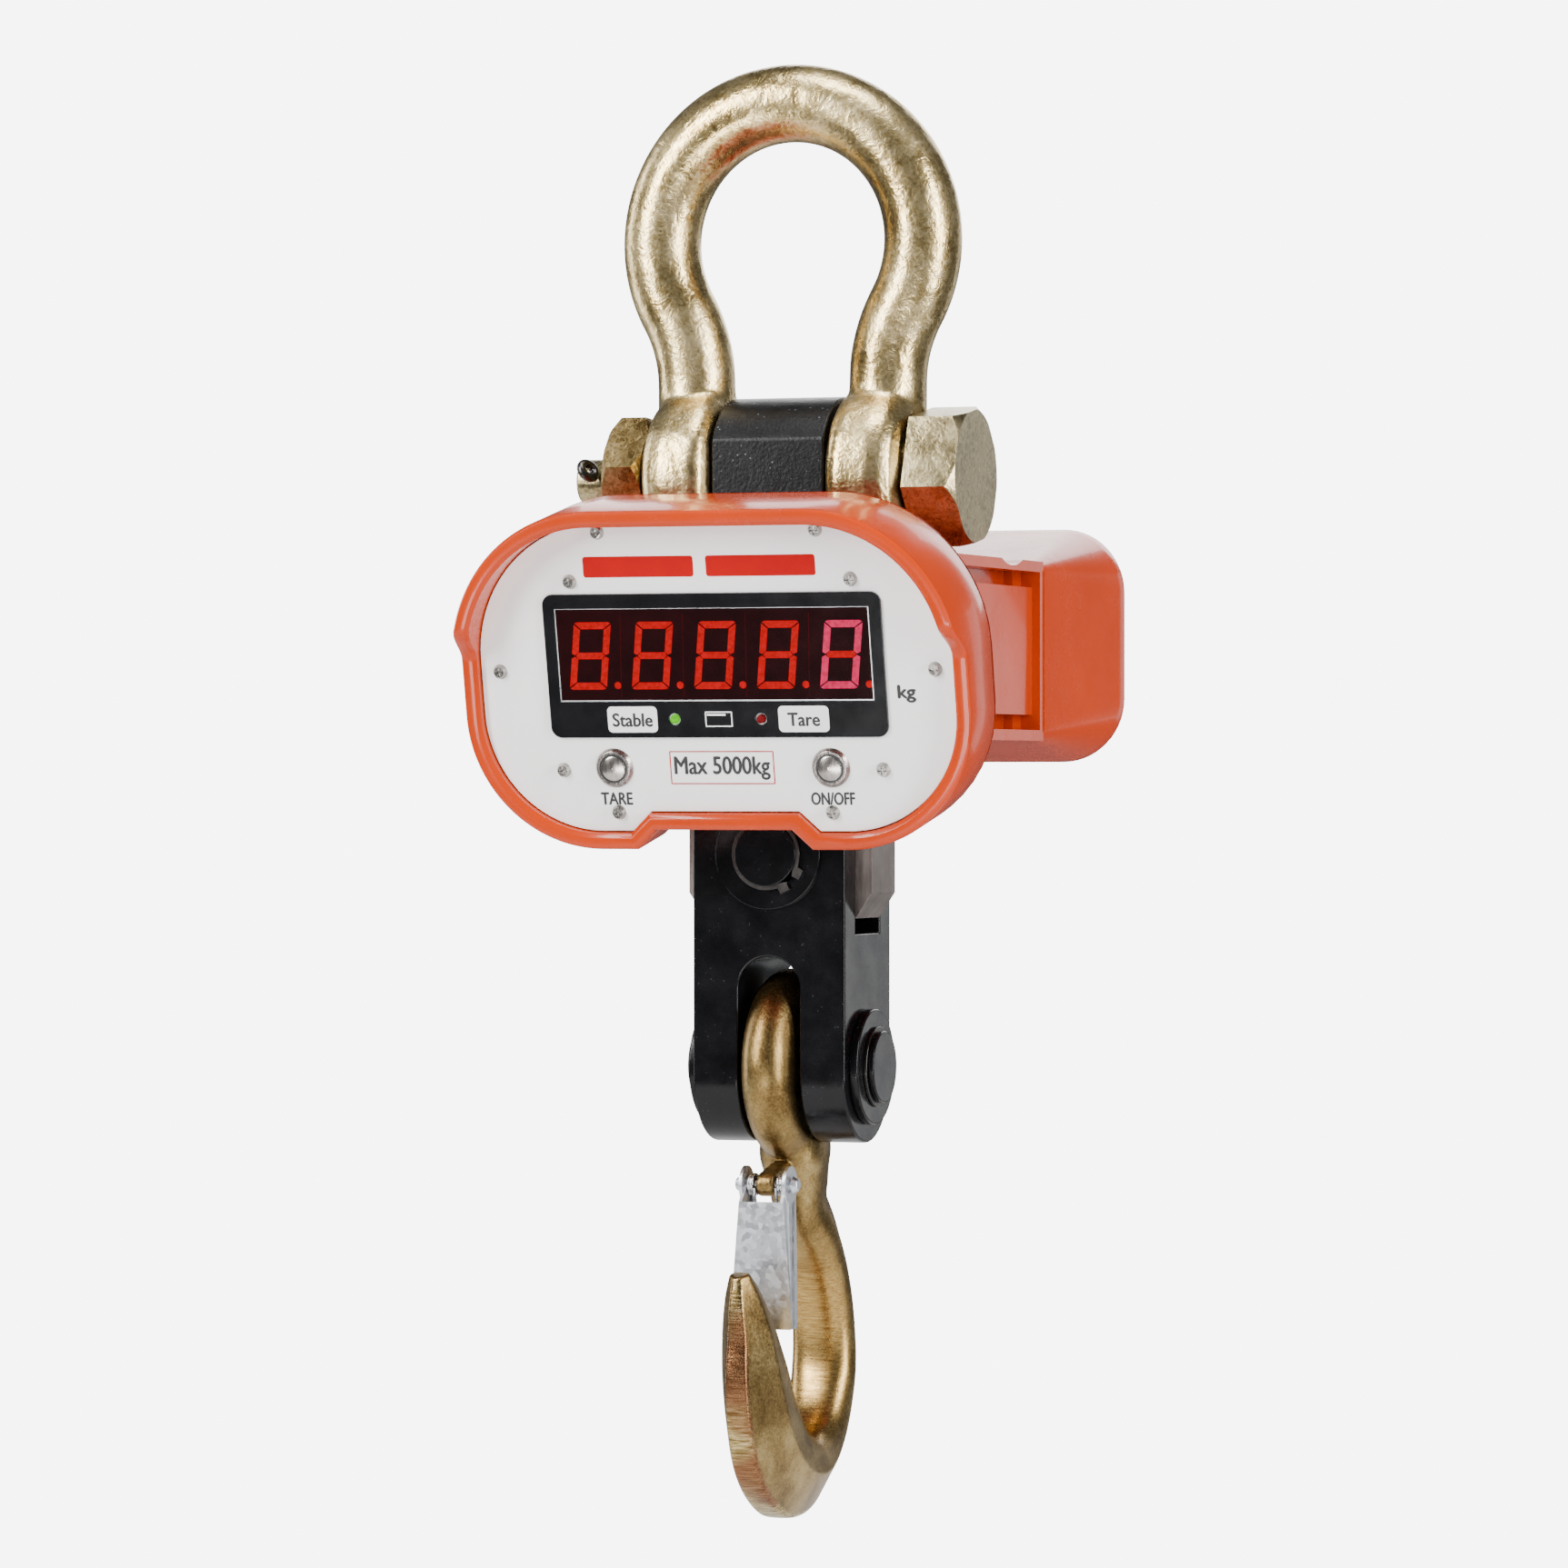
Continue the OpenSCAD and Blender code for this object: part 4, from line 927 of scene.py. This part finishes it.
def segments():
    """Outlines of the seven bars of a digit, around its middle: the middle bar is last."""
    w, h, s, g = DIGIT_W / 2, DIGIT_H / 2, STROKE, SEGMENT_GAP
    top = [(-w + g + 1.2, h), (w - g - 1.2, h), (w - g, h - 0.6), (w - s - g, h - s)]
    top += [(-w + s + g, h - s), (-w + g, h - 0.6)]
    right = [(w, h - g - 0.9), (w, g + 0.8), (w - s / 2, g)]
    right += [(w - s, s / 2 + g - 0.2), (w - s, h - s - g)]
    m = w - s / 2 - g
    middle = [(-m, 0), (-m + 1.3, s / 2 - 0.1), (m - 1.3, s / 2 - 0.1)]
    middle += [(m, 0), (m - 1.3, -s / 2 + 0.1), (-m + 1.3, -s / 2 + 0.1)]
    return [top, right, mirrored(right, 1, -1), mirrored(top, 1, -1), mirrored(right, -1, -1),
            mirrored(right, -1, 1), middle]


def flat_faces(outlines, z):
    """Points and faces of outlines that lie at one depth on the face."""
    verts, faces = [], []
    for outline in outlines:
        faces.append([len(verts) + k for k in range(len(outline))])
        verts += [on_face(x, y, z) for x, y in outline]
    return verts, faces


def digit_piece(name, outlines, material, sharp=32):
    piece(name, *flat_faces(outlines, GLASS), material, "scale_body", "window_red", sharp=sharp)


def make_digits():
    """Five digits with their points; the last one glows pink, apart from its middle bar and point."""
    for k in range(DIGITS):
        x0 = (k - DIGITS // 2) * DIGIT_PITCH + DIGITS_ASIDE
        bars = [[(x0 + x + y * SLANT, WINDOW_Y + y) for x, y in bar] for bar in segments()]
        dot = moved(arc(0, 0, DOT_R, 0, 345, 23), x0 + DOT_X, WINDOW_Y - DOT_DROP)
        if k < DIGITS - 1:
            digit_piece("digit_%d" % (k + 1), bars + [dot], "digit_red", 60)
        else:
            digit_piece("digit_%d" % (k + 1), bars[:6], "digit_pink", 60)
            digit_piece("digit_%d_middle" % (k + 1), [bars[6], dot], "digit_red")
        if k:
            edge = x0 - DIGIT_PITCH / 2 - JOINT_ASIDE
            corners = rectangle(0, 0, JOINT_HALF_W, JOINT_HALF_H)
            line = [(edge + x + y * SLANT * JOINT_SLANT, WINDOW_Y + y) for x, y in corners]
            digit_piece("module_joint_%d" % k, [line], "divider_red")


def make_panel_prints():
    """Two plain bars, the unit, the capacity in its frame and the words under the buttons."""
    low, high = PANEL_FRONT - 0.1, PANEL_FRONT + 0.12
    for name, x, width in (("title_bar_left", -33.5, 53), ("title_bar_right", 25, 52)):
        outline = moved(rounded_box(width, 9.5, 1.2, 3), x, TITLE_Y)
        flat_piece(name, outline, low, high, "print_red", edge=0.05)
    lettering("unit_print", "kg", 8.4, 90, -8, high, "print_black", 8.8, weight=0.7)
    frame_piece("capacity_frame", 50, 15.2, 0.5, 0.5, 0, BUTTON_Y + 0.1, low, high, "print_red",
                "panel_white")
    lettering("capacity_print", "Max 5000kg", 11.5, 0, BUTTON_Y - 0.1, high, "print_black", 46, weight=0.55)
    buttons = (("tare_print", "TARE", -BUTTON_X, 15.5), ("power_print", "ON/OFF", BUTTON_X, 21))
    for name, words, x, width in buttons:
        lettering(name, words, 8.0, x, BUTTON_WORDS_Y, high, "print_black", width, weight=0.45)


def make_bezel_prints():
    """The lamps' labels and the battery sign on the black frame."""
    low, high = BEZEL_FRONT - 0.1, BEZEL_FRONT + 0.1
    for name, words, x, width in (("stable", "Stable", -41, 19.5), ("tare", "Tare", 41, 15.5)):
        outline = moved(rounded_box(24, 12, 2.2, 5), x, LED_Y)
        flat_piece(name + "_label", outline, low, high, "print_white", "bezel_black", edge=0.05)
        lettering(name + "_word", words, 8.6, x, LED_Y - 0.2, BEZEL_FRONT + 0.14, "print_black", width,
                  0.5)
    frame_piece("battery_sign", 13, 7, 0.4, 0.55, 0.5, LED_Y, low, high, "print_white", "bezel_black")
    cap = moved(rounded_box(9, 0.9, 0.3, 2), -0.6, LED_Y + 2.0)
    flat_piece("battery_sign_cap", cap, low, high, "print_white", "bezel_black", edge=0.03)


def make_window_edge_highlight():
    """Painted highlight on the inner edge of the black frame, as a thin bright line: left, right, bottom, and
    thinner at the top.
    """
    w, h, y0 = 75, 21.25, WINDOW_Y + 0.3
    # Half widths of the painted highlight: widest at the bottom, thinnest at the top
    side, bottom, top = 0.225, 0.3, 0.1
    lines = [rectangle(side - w, y0, side, h), rectangle(w - side, y0, side, h),
             rectangle(0, y0 - h + bottom, w, bottom), rectangle(0, y0 + h - top, w, top)]
    verts, faces = flat_faces(lines, BEZEL_FRONT + 0.04)
    piece("window_edge_highlight", verts, faces, "painted_edge_highlight", "scale_body", "bezel_black")


def make_panel():
    flat_piece("panel_plate", rim_outline(RIM + 0.4), PANEL_BACK, PANEL_FRONT, "panel_white",
               nodes=["front_panel"], edge=0.3)
    refined("panel_screws", 0.3, 2)
    refined("display_bezel", 0.35, 2)
    refined("display_window", 0.1, 1)
    refined("tare_switch_body", 0.3)
    refined("power_switch_body", 0.3)
    refined("tare_button", 0.5, 3)
    refined("power_button", 0.5, 3)
    refined("steady_led", 0.8, 4)
    refined("tare_led", 0.8, 4)
    # Painted shade: black rings where the groove round each button's cap lies in shadow
    for name, x in (("tare_gap_shade", -BUTTON_X), ("power_gap_shade", BUTTON_X)):
        frame_piece(name, 13.4, 13.4, 6.69, 0.75, x, BUTTON_Y, PANEL_FRONT + 1.5, PANEL_FRONT + 2.0,
                    "socket_black", "switch_steel")
    make_digits()
    make_panel_prints()
    make_bezel_prints()
    make_window_edge_highlight()


# ---- hook ----
# Centre y, centre z, half depth and half width of the hook's body, from the eye to the tip
HOOK = [(1, -294, 18, 12), (4, -309, 19, 15.5), (7.5, -322, 16, 13.5), (11.5, -335, 14.5, 12),
        (22, -348, 14, 14.5), (35, -366, 12.5, 15), (44, -388, 11.5, 15), (45.5, -411, 11, 15.5),
        (40.5, -429, 12, 15.5), (31, -444.5, 14, 15.5), (16.5, -455.5, 17, 16), (-1, -459, 19.5, 16.5),
        (-22, -454, 23, 16.5), (-42, -437, 26, 16), (-53.5, -412, 22.5, 14.5), (-60.5, -390, 15, 12),
        (-66.5, -374, 9.5, 8.5), (-70.5, -363, 3.8, 4.8)]
PIN_DROP, HOOK_EYE_R, HOOK_EYE_HALF, HOOK_BORE_R = -271, 45, 12, 17.2
PIVOT_Y, PIVOT_Z, LUG_R, LUG_HALF = -32.5, -324.1, 5.5, 4.2
STEPS = 8
# Cross-section: powers of a full oval, and the strip's half width and depth as shares of the body's
OUT_POWER, SIDE_POWER = 0.85, 0.75
STRIP_HALF, STRIP_DEPTH = 0.35, 0.985
# The oval turns into a wedge over this stretch of the hook's length
WEDGE_FROM, WEDGE_OVER = 0.15, 0.15


def hook_stations():
    """The rows of HOOK with a smooth curve through them."""
    rows = [np.array(row, float) for row in HOOK]
    line = []
    for k in range(len(rows) - 1):
        a, b, c, d = rows[max(k - 1, 0)], rows[k], rows[k + 1], rows[min(k + 2, len(rows) - 1)]
        for s in (i / STEPS for i in range(STEPS)):
            line.append(0.5 * (2 * b + (c - a) * s + (2 * a - 5 * b + 4 * c - d) * s ** 2
                               + (3 * b - a - 3 * c + d) * s ** 3))
    return line + [rows[-1]]


def hook_section(wedge, steps=72):
    """Points (side, out) of the cross-section, from -1 to 1: an oval, or a wedge with a flat strip."""
    strip_cosine = math.sqrt(1 - STRIP_DEPTH ** (2 / OUT_POWER))
    points = []
    for i in range(steps):
        sine, cosine = math.sin(2 * math.pi * i / steps), math.cos(2 * math.pi * i / steps)
        out = math.copysign(abs(sine) ** OUT_POWER, sine)
        side = abs(cosine) ** SIDE_POWER
        if out > 0:
            edge = 1 - (1 - STRIP_HALF) * min(1, out / STRIP_DEPTH)
            if out >= STRIP_DEPTH:
                edge = STRIP_HALF * abs(cosine) / strip_cosine
            side = (1 - wedge) * side + wedge * edge
        points.append((math.copysign(side, cosine), out))
    return points


def hook_loops():
    """Loops of the body, oval near the eye and with a flat outer strip from the back to the tip."""
    line = hook_stations()
    loops = []
    for k, (y, z, depth, width) in enumerate(line):
        ahead = line[min(k + 1, len(line) - 1)][:2] - line[max(k - 1, 0)][:2]
        ahead /= np.linalg.norm(ahead)
        wedge = max(0.0, min(1.0, (k / len(line) - WEDGE_FROM) / WEDGE_OVER))
        loops.append([(width * side, y - ahead[1] * depth * out, z + ahead[0] * depth * out)
                      for side, out in hook_section(wedge)])
    return loops


def shade_hook(mesh):
    """Marks the ground strip along the outer edge and the smooth bowl, for the material.

    depth is 1 at the outer edge and -1 in the bowl; along runs from 0 at the eye to 1 at the tip.
    """
    line = np.array(hook_stations())
    ahead = np.gradient(line[:, :2], axis=0)
    ahead /= np.linalg.norm(ahead, axis=1)[:, None]
    outward = np.stack([-ahead[:, 1], ahead[:, 0]], 1)
    co = np.empty(len(mesh.vertices) * 3)
    mesh.vertices.foreach_get("co", co)
    co = co.reshape(-1, 3) / MM
    co[:, 2] -= BOLT_Z / MM
    nearest = np.argmin(((co[:, None, 1:] - line[None, :, :2]) ** 2).sum(2), axis=1)
    depth = ((co[:, 1:] - line[nearest, :2]) * outward[nearest]).sum(1) / line[nearest, 2]
    along = nearest / len(line)
    narrow = np.abs(co[:, 0]) < line[nearest, 3] * STRIP_HALF + 1.2
    strip = np.interp(depth, (0.86, 0.92), (0, 1)) * narrow * (along > 0.24)
    bowl = np.interp(depth, (-0.75, -0.45), (1, 0)) * np.interp(along, (0.2, 0.3), (0, 1)) * (along < 0.86)
    for name, values in (("strip", strip), ("bowl", bowl)):
        mesh.attributes.new(name, "FLOAT", "POINT").data.foreach_set("value", values.astype(np.float32))


def hook_eye():
    """The eye's ring, round outside, about the hook pin."""
    half = HOOK_EYE_HALF
    profile = [(-half, HOOK_BORE_R)]
    profile += [(half * math.sin(a), HOOK_EYE_R - half + half * math.cos(a))
                for a in np.linspace(-math.pi / 2, math.pi / 2, 19)]
    profile += [(half, HOOK_BORE_R)]
    ring = [[(x, y, z + PIN_DROP) for x, y, z in loop] for loop in turned(profile)]
    return lofted(ring + [ring[0]], False)


def lug():
    """The lug that carries the latch."""
    edge = 0.4
    loops = []
    for x, r in ((-LUG_HALF, LUG_R - edge), (edge - LUG_HALF, LUG_R), (LUG_HALF - edge, LUG_R),
                 (LUG_HALF, LUG_R - edge)):
        outline = arc(PIVOT_Y, PIVOT_Z, r, 90, 270, 16)
        outline += [(PIVOT_Y + 26, PIVOT_Z - r), (PIVOT_Y + 30, PIVOT_Z + 9), (PIVOT_Y + 14, PIVOT_Z + 9)]
        loops.append([(x, y, z) for y, z in outline])
    return lofted(loops)


def neck_weight(x, y, z):
    """1 in the neck between the eye and the body, 0 elsewhere and on the lug."""
    return step_between(-326, -318, z) * step_between(-282, -300, z) * (abs(x) > 5 or y > 0)


def make_hook():
    hook = fused("hook_forging", [lofted(hook_loops()), hook_eye(), lug()], voxel=0.85, passes=3)
    eased(hook, neck_weight, passes=30)
    shade_hook(hook.data)
    dress(hook, "hook_zinc", "hook", ["hook"])


COIL_R, WIRE_R, COIL_FROM, COIL_LENGTH, COIL_TURNS, COIL_STEPS = 4.4, 0.8, 5.3, 3.2, 2.5, 60


def make_springs():
    """Two small coil springs round the latch's pin, each with two short legs."""
    for name, side in (("latch_spring_left", -1), ("latch_spring_right", 1)):
        path = []
        for k in range(COIL_STEPS + 1):
            a = math.radians(200 + 360 * COIL_TURNS * k / COIL_STEPS)
            path.append((side * (COIL_FROM + COIL_LENGTH * k / COIL_STEPS),
                         PIVOT_Y + COIL_R * math.cos(a), PIVOT_Z + COIL_R * math.sin(a)))
        x, y, z = path[0]
        leg = [(x, y + 4, z - 13), (x, y + 1, z - 5)]
        x, y, z = path[-1]
        tail = [(x, y - 1.5, z - 6), (x, y - 2, z - 14)]
        piece(name, *lofted(tube(leg + path + tail, WIRE_R, 10)), "spring_steel", "latch", "spring_steel",
              ["latch_spring"], 60)


def make_latch():
    refined("latch", 0.45, 2)
    refined("latch_pin", 0.5, 3)
    make_springs()


# ---- everything ----
def dress_inner_nodes():
    """CAD nodes that keep their own mesh get their slot's material."""
    for name, node in NODES.items():
        if not node.hide_render:
            node.data.materials.clear()
            node.data.materials.append(MATERIALS[SLOT_OF[name]])


make_camera()
make_studio()
make_shackle()
make_chain()
make_case()
make_panel()
make_hook()
make_latch()
dress_inner_nodes()
